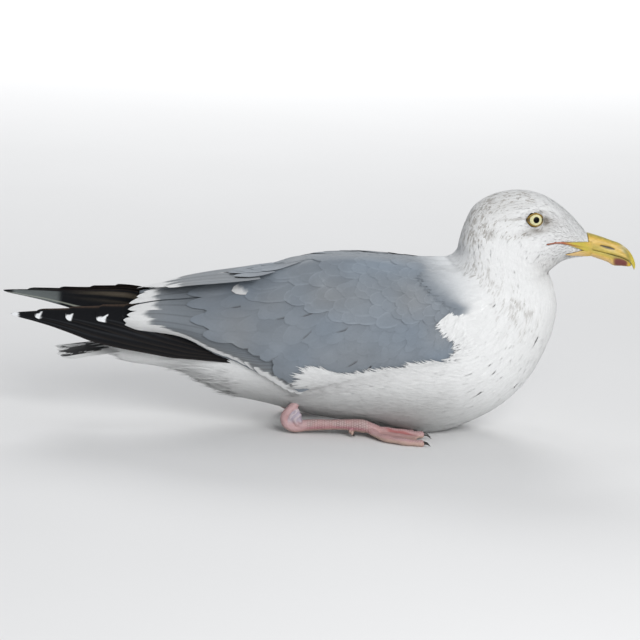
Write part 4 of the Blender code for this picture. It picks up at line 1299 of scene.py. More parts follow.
# Bare bands on the side of the head behind the bill, by their upper and lower edges
# (x, z): the corner of the mouth, and the lower mandible's root under the chin feathers.
BARE_BANDS = (
    (
        ((246, 180.5), (240, 180.4), (231, 180.6), (222, 181), (212, 181.2), (202, 179.2)),
        ((246, 168.5), (239, 172), (231, 175.3), (222, 178.5), (212, 180), (202, 178.4)),
    ),
    (
        ((246, 172.4), (241, 172.6), (236, 172.2), (231, 171), (226, 169.8), (221, 168.9)),
        ((246, 166.4), (241, 166.4), (236, 166.6), (231, 167), (226, 167.5), (221, 168.4)),
    ),
)


class GULL_OT_bill(bpy.types.Operator):
    """Make both halves of the bill and the corner of the mouth"""

    bl_idname = "gull.bill"
    bl_label = "Bill"

    def execute(self, context):
        tone = tones()
        material = horn_material("bill_horn_gloss", 0.42, 0.10)
        for band, (half, table) in enumerate((("upper", UPPER_MANDIBLE), ("lower", LOWER_MANDIBLE))):
            parts = [mandible(table, 1 - 2 * band, tone)]
            parts += [mouth_corner(side, tone, band) for side in SIDES]
            solid_piece(f"{half}_mandible", parts, material, [f"bill_{half}"])
        return {"FINISHED"}


def mouth_corner(side, tone, band):
    """A band of bare skin behind the bill, laid on the side of the head. Along the corner
    of the mouth runs the mouth's own line, as a groove."""
    f, across = np.linspace(0, 1, 70), np.linspace(0, 1, 13)
    top, low = (spline(np.array(rows), f * (len(rows) - 1)) for rows in BARE_BANDS[band])
    flat = low[:, None] + across[None, :, None] * (top - low)[:, None]
    out = out_at(side, flat[..., 0], flat[..., 1])
    out = np.maximum(out, 8 - 4.6 * band)
    rim = np.sin(pi * across) ** 0.5
    raised = out + 0.05 + 0.75 * rim[None] * (1 - 0.6 * smooth(f, 0.5, 1))[:, None]
    raised = raised - 0.9 * (1 - smooth(f, 0, 0.16))[:, None]
    raised = raised - 0.4 * bell(across[None], 0.30, 0.13) * (1 - band)
    over = np.stack([flat[..., 0], SIDES[side] * raised, flat[..., 1]], axis=-1)
    under = over - (0, SIDES[side] * 2.2, 0)
    ring = capped(np.concatenate([over, under[:, ::-1]], axis=1))
    ff = np.append(np.append(0, f), 1)[:, None] + 0 * ring[..., 0]
    cc = np.append(across, across[::-1])[None] + 0 * ff
    if band:
        paint = mix(tone["bill_buff"], LOWER_BUFF, smooth(ff, 0, 0.5))
        upper = smooth(cc, 0.55, 0.95) * (1 - smooth(ff, 0.3, 0.6))
        paint = mix(paint, (0.46, 0.36, 0.07), 0.7 * upper)
    else:
        upper = smooth(cc, 0.4, 0.9) * (1 - smooth(ff, 0.1, 0.3))
        paint = mix((0.50, 0.40, 0.05), tone["bill_buff"], upper)
        paint = mix(paint, (0.52, 0.38, 0.09), 0.7 * (1 - smooth(ff, 0, 0.16)))
        paint = mix(paint, tone["gape"], smooth(ff, 0.46, 0.72))
        red_line = bell(cc, 0.32, 0.16) * smooth(ff, 0.2, 0.5)
        paint = mix(paint, (0.26, 0.05, 0.025), 0.85 * red_line)
    return part_of(ring, paint)


# --- Claws ---


class GULL_OT_claws(bpy.types.Operator):
    """Make the eight claws"""

    bl_idname = "gull.claws"
    bl_label = "Claws"

    def execute(self, context):
        tone = tones()
        parts = []
        for sign in SIDES.values():
            centre = mirrored(FOOT_CENTRE, sign)
            ends = [(centre, mirrored(tip, sign), 8.6, 1.75) for tip, _, _ in TOES.values()]
            ends.append((*(mirrored(p, sign) for p in HIND_TOE), 3.2, 1.1))
            for start, end, length, girth in ends:
                way = unit(end - start)
                f = np.linspace(-0.12, 1, 16)
                arch = 1.3 * np.sin(pi * np.clip(f, 0, 1) * 0.85)
                path = end + f[:, None] * length * way
                path[:, 2] = end[2] + arch + (0.55 - end[2]) * np.clip(f, 0, 1) ** 2
                thick = girth * np.clip(1.04 - np.clip(f, 0, 1) ** 1.6, 0.08, 1)
                points, faces = tube(path, thick * 0.72, thick, around=14)
                points[:, 2] = np.maximum(points[:, 2], 0.1)
                shade = np.linspace(1, 0.6, len(points))[:, None]
                parts.append((points, faces, tone["claw"] * shade))
        solid_piece("claws", parts, horn_material("claw_horn", 0.32, 0.3), CLAW_NODES)
        return {"FINISHED"}


# --- Coat of the head, neck and body ---


def gull_lie(points, along):
    """Lie of the coat: towards the tail along the body, and round the eye."""
    heading = -unit(along)
    centre = EYE_CENTRE[[0, 2]] + (0.5, 0.2)
    gap = points[:, [0, 2]] - centre
    reach = np.hypot(*gap.T)
    near = np.exp(-((reach / 13) ** 4)) * (points[:, 0] > 150)
    radial = np.zeros_like(points)
    radial[:, [0, 2]] = gap / reach[:, None]
    inward = np.minimum(dot(heading, radial), 0) * near
    heading = heading - radial * (inward * 1.15)[:, None] + radial * (0.12 * near)[:, None]
    return unit(heading)


def bare_face(points, margin=0.6):
    """Whether points lie inside the opening of the lids, which is an oval with corners, or
    on the bare bands behind the bill."""
    gap = (points - EYE_CENTRE) / (7.7 + margin, 1, 6 + margin)
    lids = (gap[:, 0] ** 2 + gap[:, 2] ** 2 < 1) & (np.abs(points[:, 1]) > 10)
    x, z, found = points[:, 0], points[:, 2], False
    for rows in BARE_BANDS:
        upper, lower = (np.interp(x, *np.array(row[::-1]).T) for row in rows)
        found = found | ((x > rows[0][-1][0] + margin) & (z < upper + margin) & (z > lower - margin))
    return lids | (found & (np.abs(points[:, 1]) > 3.4))


def under_wing(points):
    """Whether points of the body are well covered by a folded wing."""
    x, y, z = points.T
    lower = np.interp(x, (-184, -150, -100, -57, -25, 30, 85, 118), (100, 96, 84, 68, 56, 66, 80, 92))
    upper = np.interp(x, (-184, -125, -80, -25, 30, 85, 118), (104, 116, 128, 144, 150, 143, 116))
    return (x > -186) & (x < 104) & (z > lower + 4) & (z < upper) & (np.abs(y) > 12)


def coat_piece(name, sheet, roots, tone, rng, length, width, low, high, **more):
    """A piece of tufts along the lie of the coat, which stray and vary a little. Each takes
    its markings partly from its root and partly from where it is."""
    point, normal, along, _ = sheet.frame(*roots)
    heading = gull_lie(point, along)
    spread = rng.normal(size=(3, len(point)))
    side = np.cross(normal, heading)
    heading = heading + side * (more.pop("stray") * spread[0])[:, None]
    length = length * np.clip(1 + 0.14 * spread[1], 0.6, 1.4)
    own = more.pop("own", 0.4)
    layer = lay(
        sheet, roots, heading, length, width, tuft_plan, low, high,
        roll=0.02 * spread[2], bend=0.05 * rng.normal(size=len(point)), **more,
    )
    paint = own * markings(point, tone)[:, None] + (1 - own) * markings(layer["points"], tone)
    layer["tint"] = vary(paint, rng, 0.02)
    plumage_piece(name, [layer], "white")


class GULL_OT_head_coat(bpy.types.Operator):
    """Lay the small tufts of the head"""

    bl_idname = "gull.head_coat"
    bl_label = "Head coat"

    def execute(self, context):
        sizes, tone = context.scene.gull_sizes, tones()
        sheet, rng = body_sheet(), np.random.default_rng(SEEDS["head"])
        roots = scatter(
            sheet, sizes.head_gap, rng, (12.9, 18.93), (0, 2 * pi), lambda p, u, v: ~bare_face(p)
        )
        point = sheet.frame(*roots)[0]
        face = smooth(point[:, 0], 176, 232)
        reach = np.hypot(point[:, 0] - EYE_CENTRE[0], point[:, 2] - EYE_CENTRE[2])
        lids = 1 - smooth(reach, 7, 16)
        length = sizes.head_tuft * (1.25 - 0.75 * face) * (1 - 0.45 * lids)
        width = 1.45 - 0.5 * face - 0.3 * lids
        coat_piece(
            "coat_head", sheet, roots, tone, rng, length, width, -0.2 * coat_depth(roots[0]),
            0.12 + 0.08 * rng.random(len(point)), own=0.8, stations=2, thick=0.12, camber=0.03,
            stray=0.05, dive=0.12, climb=0.25,
        )
        return {"FINISHED"}


class GULL_OT_body_coat(bpy.types.Operator):
    """Lay the coat of the neck, breast, belly and vent"""

    bl_idname = "gull.body_coat"
    bl_label = "Body coat"

    def execute(self, context):
        sizes, tone = context.scene.gull_sizes, tones()
        sheet, rng = body_sheet(), np.random.default_rng(SEEDS["neck"])
        roots = scatter(
            sheet, sizes.neck_gap, rng, (10.4, 13.2), (0, 2 * pi), lambda p, u, v: p[:, 2] > 96
        )
        point = sheet.frame(*roots)[0]
        rise = smooth(point[:, 2], 120, 170)
        length = sizes.neck_tuft * (1.25 - 0.45 * rise)
        coat_piece(
            "coat_neck", sheet, roots, tone, rng, length, 2.7 - 0.9 * rise,
            -0.14 * coat_depth(roots[0]), 0.25 + 0.15 * rng.random(len(point)), stray=0.06,
            thick=0.12, dive=0.2, camber=0.02, climb=0.25,
        )

        def uncovered(p, u, v):
            return ~under_wing(p) & ((p[:, 2] < 118) | (p[:, 0] > 100)) & (p[:, 2] < 132)

        rng = np.random.default_rng(SEEDS["breast"])
        for side, span in (("left", (0.55, pi)), ("right", (pi, 2 * pi - 0.55))):
            roots = scatter(sheet, sizes.breast_gap, rng, (1.2, 11.3), span, uncovered)
            point = sheet.frame(*roots)[0]
            rear = smooth(-point[:, 0], -20, 110)
            coat_piece(
                f"coat_breast_{side}", sheet, roots, tone, rng,
                sizes.breast_tuft * (1 + 0.55 * rear), 2.9 + 2 * rear,
                -0.15 * coat_depth(roots[0]), 0.4 + 0.2 * rng.random(len(point)), stray=0.07,
                thick=0.13, stations=4, camber=0.03, dive=0.4, climb=0.25,
            )
        roots = scatter(sheet, 4, rng, (2.2, 3.7), (pi - 1.2, pi + 1.2))
        loose = rng.random(len(roots[0])) ** 2
        coat_piece(
            "coat_vent", sheet, roots, tone, rng, 20 + 8 * rng.random(len(loose)), 3.4, -1,
            0.8 + 4.2 * loose, stray=0.22, thick=0.16, stations=5, camber=0.05, climb=1.6,
        )
        return {"FINISHED"}


# --- Back ---


def rows_on(sheet, u_rows, v_range, spacing, rng, jitter=0.12):
    """Roots in staggered rows: each row is filled evenly along its own length."""
    all_u, all_v = [], []
    for number_of_row, u in enumerate(u_rows):
        v = np.linspace(*v_range(u), 60)
        points = sheet.frame(np.full(60, u), v)[0]
        run = np.append(0, np.cumsum(np.linalg.norm(np.diff(points, axis=0), axis=1)))
        count = max(1, int(run[-1] / spacing(u)))
        at = (np.arange(count) + 0.25 + 0.5 * (number_of_row % 2)) / count
        at = at + rng.normal(size=count) * jitter / count
        all_v.append(np.interp(at * run[-1], run, v))
        all_u.append(np.full(count, u))
    return np.concatenate(all_u), np.concatenate(all_v)


def edged(layer, base, rng, edge=0.16, vary_by=0.05):
    """Paint of a grey feather: its own grey, slightly darker at its root, with a paler
    line along its rim."""
    s, c = layer["s"], layer["c"]
    base = np.broadcast_to(base, layer["points"].shape)
    rim = np.maximum(smooth(np.abs(c), 0.70, 0.98), smooth(s, 0.90, 0.99))
    paint = base * (1 - 0.10 * (1 - smooth(s, 0.2, 0.7)))[None, :, None]
    paint = mix(paint, np.minimum(base * 1.9 + 0.05, 0.8), edge * rim[None])
    return vary(paint, rng, vary_by)


class GULL_OT_mantle(bpy.types.Operator):
    """Lay the grey feathers of the back and the white ones of the rump"""

    bl_idname = "gull.mantle"
    bl_label = "Back"

    def execute(self, context):
        tone, sheet = tones(), body_sheet()
        rng = np.random.default_rng(SEEDS["mantle"])
        u_rows = np.concatenate([np.arange(1, 4, 0.22), np.arange(4, 10.6, 0.14)])

        def half(u):
            return np.interp(u, (0.8, 3, 6, 9, 10.6), (1.5, 1.25, 1, 1.15, 1.35))

        def back_gap(u):
            return np.interp(u, (3, 7, 10.6), (9, 8, 5))

        layers = []
        for rows, gap, edge in (
            (u_rows[u_rows < 3.4], lambda u: 8, 0),
            (u_rows[u_rows >= 3.4], back_gap, 0.13),
        ):
            halves = [
                rows_on(sheet, rows, span, gap, rng)
                for span in (lambda u: (0, half(u)), lambda u: (2 * pi - half(u), 2 * pi))
            ]
            u, v = np.concatenate(halves, axis=1)
            u = u + rng.normal(size=len(u)) * 0.02
            point, _, along, _ = sheet.frame(u, v)
            length = np.interp(u, (1, 3, 7, 10.6), (36, 38, 32, 17))
            width = np.interp(u, (1, 3, 7, 10.6), (14, 14, 13, 8.5))
            heading = -unit(along) + 0.1 * rng.normal(size=point.shape)
            layer = lay(
                sheet, (u, v), heading, length, width, covert_plan,
                -0.25 * coat_depth(u), 0.4 + 0.15 * rng.random(len(u)), climb=0.7, crowd=0.7,
                stations=8, strands=6, thick=0.12, camber=0.015, brim=1.6,
                roll=0.01 * rng.normal(size=len(u)),
            )
            layer["tint"] = edged(layer, markings(layer["points"], tone), rng, edge)
            layers.append(layer)
        plumage_piece("mantle", layers, "grey")
        for side in SIDES:
            plumage_piece(f"shoulder_{side}", [shoulder_tufts(side, tone, rng)], "white")
        return {"FINISHED"}


def shoulder_tufts(side, tone, rng):
    """Soft tufts between neck and wing, where the white fades into the grey."""
    sheet = side_sheet(side)
    u, v = scatter(
        sheet, 2.1, rng, (96, 144), (98, 158),
        lambda p, u, v: (v < 152) & (u < 150 - 0.2 * (v - 110)) & (greyness(p) < 0.75)
        & ((u > 7 + np.interp(v, WING_FRONT_Z, WING_FRONT_X)) | (v > 122)),
    )
    fade = smooth(u, 96, 112)
    lift = -14 + 6 * rng.normal(size=len(u)) - 16 * smooth(-v, -122, -104)
    length = np.clip(14 + 2 * rng.normal(size=len(u)), 8, 20)
    layer = lay(
        sheet, (u, v), back_and_up(sheet, u, v, lift), length, 4, tuft_plan, -0.8,
        1 - 0.2 * fade + 0.35 * rng.random(len(u)), stations=5, thick=0.16, camber=0.03,
        climb=0.3, dive=0.3, roll=0.04 * rng.normal(size=len(u)),
    )
    layer["tint"] = vary(markings(layer["points"], tone), rng, 0.02)
    return layer


# --- Wings ---

# Lower edge of the scapulars, as shares across the wing.
SCAPULAR_X = (-90, -67, -50, -24, 5, 21, 41, 59, 76, 100, 128)
SCAPULAR_SHARE = (0.96, 0.90, 0.85, 0.74, 0.68, 0.62, 0.52, 0.54, 0.54, 0.57, 0.70)


def back_and_up(sheet, u, v, lift):
    """A direction on the wing or the side that points back and up by an angle in degrees."""
    _, _, along, across = sheet.frame(u, v)
    turn = np.radians(lift)[:, None]
    return -np.cos(turn) * unit(along) + np.sin(turn) * unit(across)


def rows_back(x, last, *steps):
    """Places of rows from x back to the last, by steps that depend on the place."""
    rows = []
    while x > last:
        rows.append(x)
        x -= np.interp(x, *steps)
    return rows


def wing_base(side, tone):
    """The wing under its feathers: a closed plate on the wing's surface, sunk under it."""
    sheet = wing_sheet(side)
    x = np.linspace(126, -168, 90)
    share = np.linspace(0.06, 1.2, 37)
    uu, vv = np.meshgrid(x, share, indexing="ij")
    point, normal = sheet.frame(uu, vv)[:2]
    ends = np.minimum(1, 8 * np.minimum(vv, 1.22 - vv))
    deep = np.interp(uu, (-168, -60, 10, 126), (0.8, 1.6, 6, 6)) * np.sqrt(ends)
    sunk = 3.2 + 5 * smooth(-vv, -0.4, -0.05) * smooth(uu, -45, -20)
    over = point - normal * sunk[..., None]
    under = point - normal * (sunk + 0.3 + deep)[..., None]
    ring = capped(np.concatenate([over, under[:, ::-1]], axis=1), 0.03)
    return part_of(ring, np.broadcast_to(tone["grey"] * 0.9, ring.shape))


def remiges(side, tone, rng):
    """Tertials and secondaries: broad feathers whose white tips lie round the wing's rear
    and lower edge. Each next one lies under the last and ends further forward."""
    sheet = wing_sheet(side)
    lower_x = np.arange(-158, -26, 7.5)
    rear_x = (-146, -157, -165, -172, -178, -178, -178.3, -181, -179.5, -170)
    rear_v = (1.30, 1.18, 1.06, 0.97, 0.84, 0.63, 0.42, 0.22, 0.06, -0.01)
    tip_x = np.concatenate([rear_x, lower_x])
    tip_v = np.concatenate([rear_v, 0 * lower_x - 0.02])
    droop = np.interp(tip_x, (-181, -160, -110, -60, -28), (9, 13, 22, 30, 38))
    droop[:9] += (-14, -12, -10, -8, -5, -3, -1, 2, 4)
    length = np.interp(tip_x, (-181, -150, -60, -28), (92, 88, 58, 46))
    width = np.interp(tip_x, (-181, -150, -60, -28), (23, 21, 15, 13))
    # Root: walk back from the tip against the heading, measured on the surface.
    rise_each = np.linalg.norm(sheet.frame(tip_x, np.clip(tip_v, 0, 1))[3], axis=1)
    turn = np.radians(droop)
    u = tip_x + length * np.cos(turn)
    v = tip_v + length * np.sin(turn) / rise_each
    # The surface widens forwards, so the root is found again with the mean width there.
    mean = (rise_each + np.linalg.norm(sheet.frame(u, np.clip(v, 0, 1))[3], axis=1)) / 2
    v = tip_v + length * np.sin(turn) / mean
    heading = back_and_up(sheet, u, v, -droop)
    high = 0.1 - 0.08 * np.arange(len(tip_x))
    layer = lay(
        sheet, (u, v), heading, length, width, tertial_plan, high - 1.3, high,
        stations=24, strands=14, thick=0.3, camber=0.035, shaft=0.1, roll=-0.012 * SIDES[side],
        crowd=0.62, brim=1.5,
    )
    s, c = layer["s"], layer["c"]
    tip_white = np.interp(tip_x, (-181, -165, -120, -28), (24, 22, 10, 8)) / length
    tip_white = tip_white * (1 + 0.14 * rng.normal(size=len(tip_x)))
    wave = 0.05 * np.abs(c)[None] - 0.02 + 0.03 * rng.normal(size=len(u))[:, None] * c[None]
    white = smooth(s[None] + wave, 1 - tip_white[:, None] - 0.02, 1 - tip_white[:, None] + 0.05)
    base = np.broadcast_to(tone["grey"] * (1, 0.99, 0.97), layer["points"].shape)
    base = vary(base, rng, 0.03)
    shade = 1 - 0.16 * (1 - smooth(s, 0.3, 0.9))
    brown = mix(base, base * (1, 0.93, 0.86), 0.7 * smooth(s, 0.5, 0.9)[None])
    paint = mix(brown * shade[None, :, None], tone["white"], white)
    shaft_line = (np.abs(c) < 0.01) * 0.25
    layer["tint"] = paint * (1 - shaft_line * (1 - 0.85 * white))[..., None]
    strip_unwrap(layer)
    return layer


def tertial_plan(s):
    """Half-width of a tertial: broad, and closed by a round end."""
    oval = np.clip((s - 0.87) / 0.13, 0, 1)
    return np.minimum(1, 0.5 + 1 * s) * np.sqrt(1 - oval**2.1) + 0.008


def primary_coverts(side, tone, rng):
    """Small grey feathers with pale rims between the secondaries and the primaries."""
    sheet = wing_sheet(side)
    tip_x = np.array((-158, -146, -132, -118, -104, -92, -80, -68))
    tip_v = (-0.13, -0.15, -0.17, -0.18, -0.17, -0.15, -0.13, -0.10)
    length, droop = 42, np.linspace(8, 20, 8)
    turn = np.radians(droop)
    u = tip_x + length * np.cos(turn)
    v = tip_v + length * np.sin(turn) / np.interp(tip_x, (-158, -68), (32, 70))
    high = -2.2 - 0.15 * np.arange(8)
    layer = lay(
        sheet, (u, v), back_and_up(sheet, u, v, -droop), length, 13, round_plan, high - 1,
        high, stations=8, strands=8, thick=0.4, camber=0.12,
    )
    layer["tint"] = edged(layer, tone["grey"] * 0.82, rng, 0.5)
    return layer


def coverts(side, tone, rng):
    """Grey coverts in staggered rows, small at the bend of the wing and long at the rear,
    that point back and ever more downwards towards the front."""
    sheet = wing_sheet(side)
    steps = (-100, -30, 20, 60, 90, 118), (13, 12, 10, 8, 5.5, 4)

    def span(x):
        top = np.interp(x, SCAPULAR_X, SCAPULAR_SHARE) + 0.10
        return 0.02, np.clip(top, 0.3, 1.02)

    def gap(x):
        return np.interp(x, (-100, -60, 20, 60, 90, 118), (13.5, 13, 11, 8.5, 6, 4.6))

    u, v = rows_on(sheet, rows_back(118, -92, *steps), span, gap, rng, 0.25)
    u = u + rng.normal(size=len(u)) * 1.3
    front = smooth(u, 40, 112)
    rear_top = smooth(-u, 20, 90) * smooth(v, 0.45, 0.85)
    droop = 36 + 24 * front - 18 * rear_top + 5 * rng.normal(size=len(u))
    size = np.interp(u, (-100, -60, 0, 60, 118), (50, 48, 38, 26, 17))
    turn = np.radians(droop)
    tip_u = u - size * np.cos(turn)
    rise = np.linalg.norm(sheet.frame(tip_u, v)[3], axis=1)
    tip_v = v - size * np.sin(turn) / rise
    limit = np.interp(tip_u, (-132, -125, -102, -30, 118), (0.62, 0.30, 0.05, 0, -0.03))
    keep = (tip_v > limit) & (tip_u > -132)
    u, v, droop, size = u[keep], v[keep], droop[keep], size[keep]
    width = 1.6 * gap(u)
    high = 0.15 + 0.1 * rng.random(len(u))
    layer = lay(
        sheet, (u, v), back_and_up(sheet, u, v, -droop), size, width, covert_plan, -0.7, high,
        stations=10, strands=8, thick=0.1, camber=0.012, roll=0.012 + 0.006 * rng.normal(size=len(u)),
        bend=0.05 * rng.normal(size=len(u)), floor=1, climb=0.8, crowd=0.7, brim=1.6,
        ease=0.8,
    )
    tint = edged(layer, tone["grey"] * 0.97 * grey_shift(layer["points"]), rng, 0.035, 0.025)
    # Here and there a dark slit is painted along a feather's lower rim: painted shade that stands for
    # a gap between two feathers.
    slit = (rng.random(len(u)) < 0.13) & (u < 70) & (v > 0.12)
    start = 0.35 + 0.2 * rng.random(len(u))[:, None]
    slit = slit[:, None] * smooth(layer["c"], 0.80, 0.97)[None]
    run = layer["s"][None] - start
    slit = slit * smooth(run, 0, 0.1) * smooth(0.4 - run, 0, 0.1)
    layer["tint"] = mix(tint, (0.035, 0.03, 0.028), 0.85 * slit)
    return layer


def covert_plan(s):
    """Half-width of a covert: full soon after the root, then a long oval to its end."""
    oval = np.clip((s - 0.5) / 0.5, 0, 1)
    return np.minimum(1, 0.45 + 1.6 * s) * np.sqrt(1 - oval**1.9) + 0.01


def grey_shift(points):
    """Slow changes of the grey: bluer and browner areas a few centimetres across."""
    warm = mix((0.95, 1, 1.05), (1.05, 1, 0.95), noise(points, 26, 21))
    return warm * (0.92 + 0.16 * noise(points, 14, 22))[..., None]


def scapulars(side, tone, rng):
    """Large rounded feathers over the upper wing, small at the shoulder, whose longest
    rear ones end in a white crescent."""
    sheet = wing_sheet(side)
    steps = (-58, 0, 60, 100, 124), (13, 12, 9.5, 6.5, 4)

    def span(x):
        low = np.interp(x, SCAPULAR_X, SCAPULAR_SHARE) + 0.05
        return low, np.interp(x, (-40, 20), (1.24, 1.1))

    def gap(x):
        return np.interp(x, (-58, 0, 60, 100, 124), (12, 12, 9.5, 7, 4.6))

    u, v = rows_on(sheet, rows_back(138, -47, *steps), span, gap, rng, 0.2)
    u = u + rng.normal(size=len(u)) * 1
    droop = np.interp(u, (-58, 20, 70, 124), (11, 10, 14, 22))
    droop = droop - 8 * smooth(v, 0.9, 1.3) + 4 * rng.normal(size=len(u))
    size = np.interp(u, (-58, 0, 50, 100, 124), (44, 42, 33, 21, 13))
    size = size * np.clip(1 + 0.1 * rng.normal(size=len(u)), 0.75, 1.3)
    width = 1.75 * gap(u)
    high = 0.6 + 0.15 * rng.random(len(u))
    layer = lay(
        sheet, (u, v), back_and_up(sheet, u, v, -droop), size, width, covert_plan, -0.4, high,
        stations=10, strands=8, thick=0.12, camber=0.012, climb=0.8, crowd=0.7, brim=1.6, ease=0.7,
        roll=0.012 + 0.008 * rng.normal(size=len(u)),
    )
    points = layer["points"]
    fade = smooth(points[..., 0], 84, 96) * smooth(points[..., 2], 112, 122)
    base = mix(tone["grey"] * 1.04 * grey_shift(points), tone["white"], (1 - greyness(points)) * fade)
    tint = edged(layer, base, rng, 0.13, 0.03)
    last = (u < -34) & (v > 0.80) & (v < 1)
    white = last[:, None] * smooth(layer["s"] + 0.10 * layer["c"], 0.70, 0.80)[None]
    layer["tint"] = mix(tint, tone["white"], white)
    return layer


# Upper edge of the white flank over the wing, from the rear to the breast.
FLANK_X = (-27, -23.5, -16.5, -4.7, 6.3, 19.9, 33.4, 44.1, 56, 69.4, 78.3, 96.2, 110.7, 120.5, 127)
FLANK_Z = (50, 62, 67, 65.5, 62.5, 62, 63.5, 67, 66.5, 70, 72.5, 76.5, 76, 80, 88)


def flank_tufts(side, tone, rng):
    """White feathers that grow on the flank and the breast and lie over the wing's lower
    and front edge, fanned upwards, with loose points along their border."""
    sheet = side_sheet(side)

    def edge(x):
        return np.interp(x, FLANK_X, FLANK_Z, left=0)

    def below_edge(p, u, v):
        return (v < edge(u - 13) - 2) & (v > 22 + 0.10 * np.abs(u - 40))

    made = []
    for spacing, keep, size, thin in (
        (2.5, below_edge, 17, 2.8),
        (1.7, lambda p, u, v: (np.abs(v - edge(u - 12) + 5.5) < 5.5) & (u < 126), 15, 1.3),
    ):
        u, v = scatter(sheet, spacing, rng, (-30, 130), (20, 100), keep)
        near = smooth(v - edge(u - 12), -22, -3)
        lift = 4 + 14 * near * (1 - smooth(u, 80, 125)) - 24 * smooth(-u, 2, 16)
        lift = lift + (4 + near) * rng.normal(size=len(u))
        length = size * np.clip(1 + 0.15 * rng.normal(size=len(u)), 0.6, 1.4)
        high = 0.8 + 0.8 * near + 0.3 * rng.random(len(u))
        made.append((u, v, lift, length, high, thin))
    # In front of the wing: tufts of the breast that point back and down over its edge.
    u, v = scatter(
        sheet, 1.8, rng, (98, 142), (80, 121),
        lambda p, u, v: (np.abs(u - 9 - np.interp(v - 4, WING_FRONT_Z, WING_FRONT_X)) < 6.5),
    )
    low = smooth(-v, -104, -84)
    lift = -42 + 40 * low + 9 * rng.normal(size=len(u))
    length = 13 + 2.5 * rng.normal(size=len(u))
    made.append((u, v, lift, np.clip(length, 7, 19), 1.3 + 0.6 * rng.random(len(u)), 2.2))
    layers = []
    for u, v, lift, length, high, width in made:
        layer = lay(
            sheet, (u, v), back_and_up(sheet, u, v, lift), length, width, tuft_plan, -0.8, high,
            stations=5, thick=0.18, camber=0.04, roll=0.06 * rng.normal(size=len(u)),
            bend=0.10 * rng.normal(size=len(u)), climb=0.35, dive=0.3,
        )
        layer["tint"] = vary(markings(layer["points"], tone, grey=False), rng, 0.03)
        layers.append(layer)
    return layers


# Front edge of the grey wing: z and x, from the flank up to the shoulder.
WING_FRONT_Z = (76, 80, 86, 94.9, 100.6, 106.5, 111, 114, 120)
WING_FRONT_X = (114.5, 123, 126.5, 123.5, 117, 110, 103.5, 106, 119)


class GULL_OT_wings(bpy.types.Operator):
    """Make both folded wings: base, remiges, coverts, scapulars and flank tufts"""

    bl_idname = "gull.wings"
    bl_label = "Wings"

    def execute(self, context):
        tone = tones()
        for side in SIDES:
            rng = np.random.default_rng(SEEDS["wing"])
            solid_piece(
                f"wing_base_{side}", [wing_base(side, tone)],
                skin_material("wing_skin", 3, 0.8, 0.1), [f"wing_{side}", f"tertials_{side}"],
            )
            plumage_piece(f"remiges_{side}", [remiges(side, tone, rng)], "grey")
            layers = [primary_coverts(side, tone, rng), coverts(side, tone, rng)]
            plumage_piece(f"coverts_{side}", layers, "grey")
            plumage_piece(f"scapulars_{side}", [scapulars(side, tone, rng)], "grey")
            plumage_piece(f"flank_{side}", flank_tufts(side, tone, rng), "white")
        return {"FINISHED"}


# --- Primaries ---


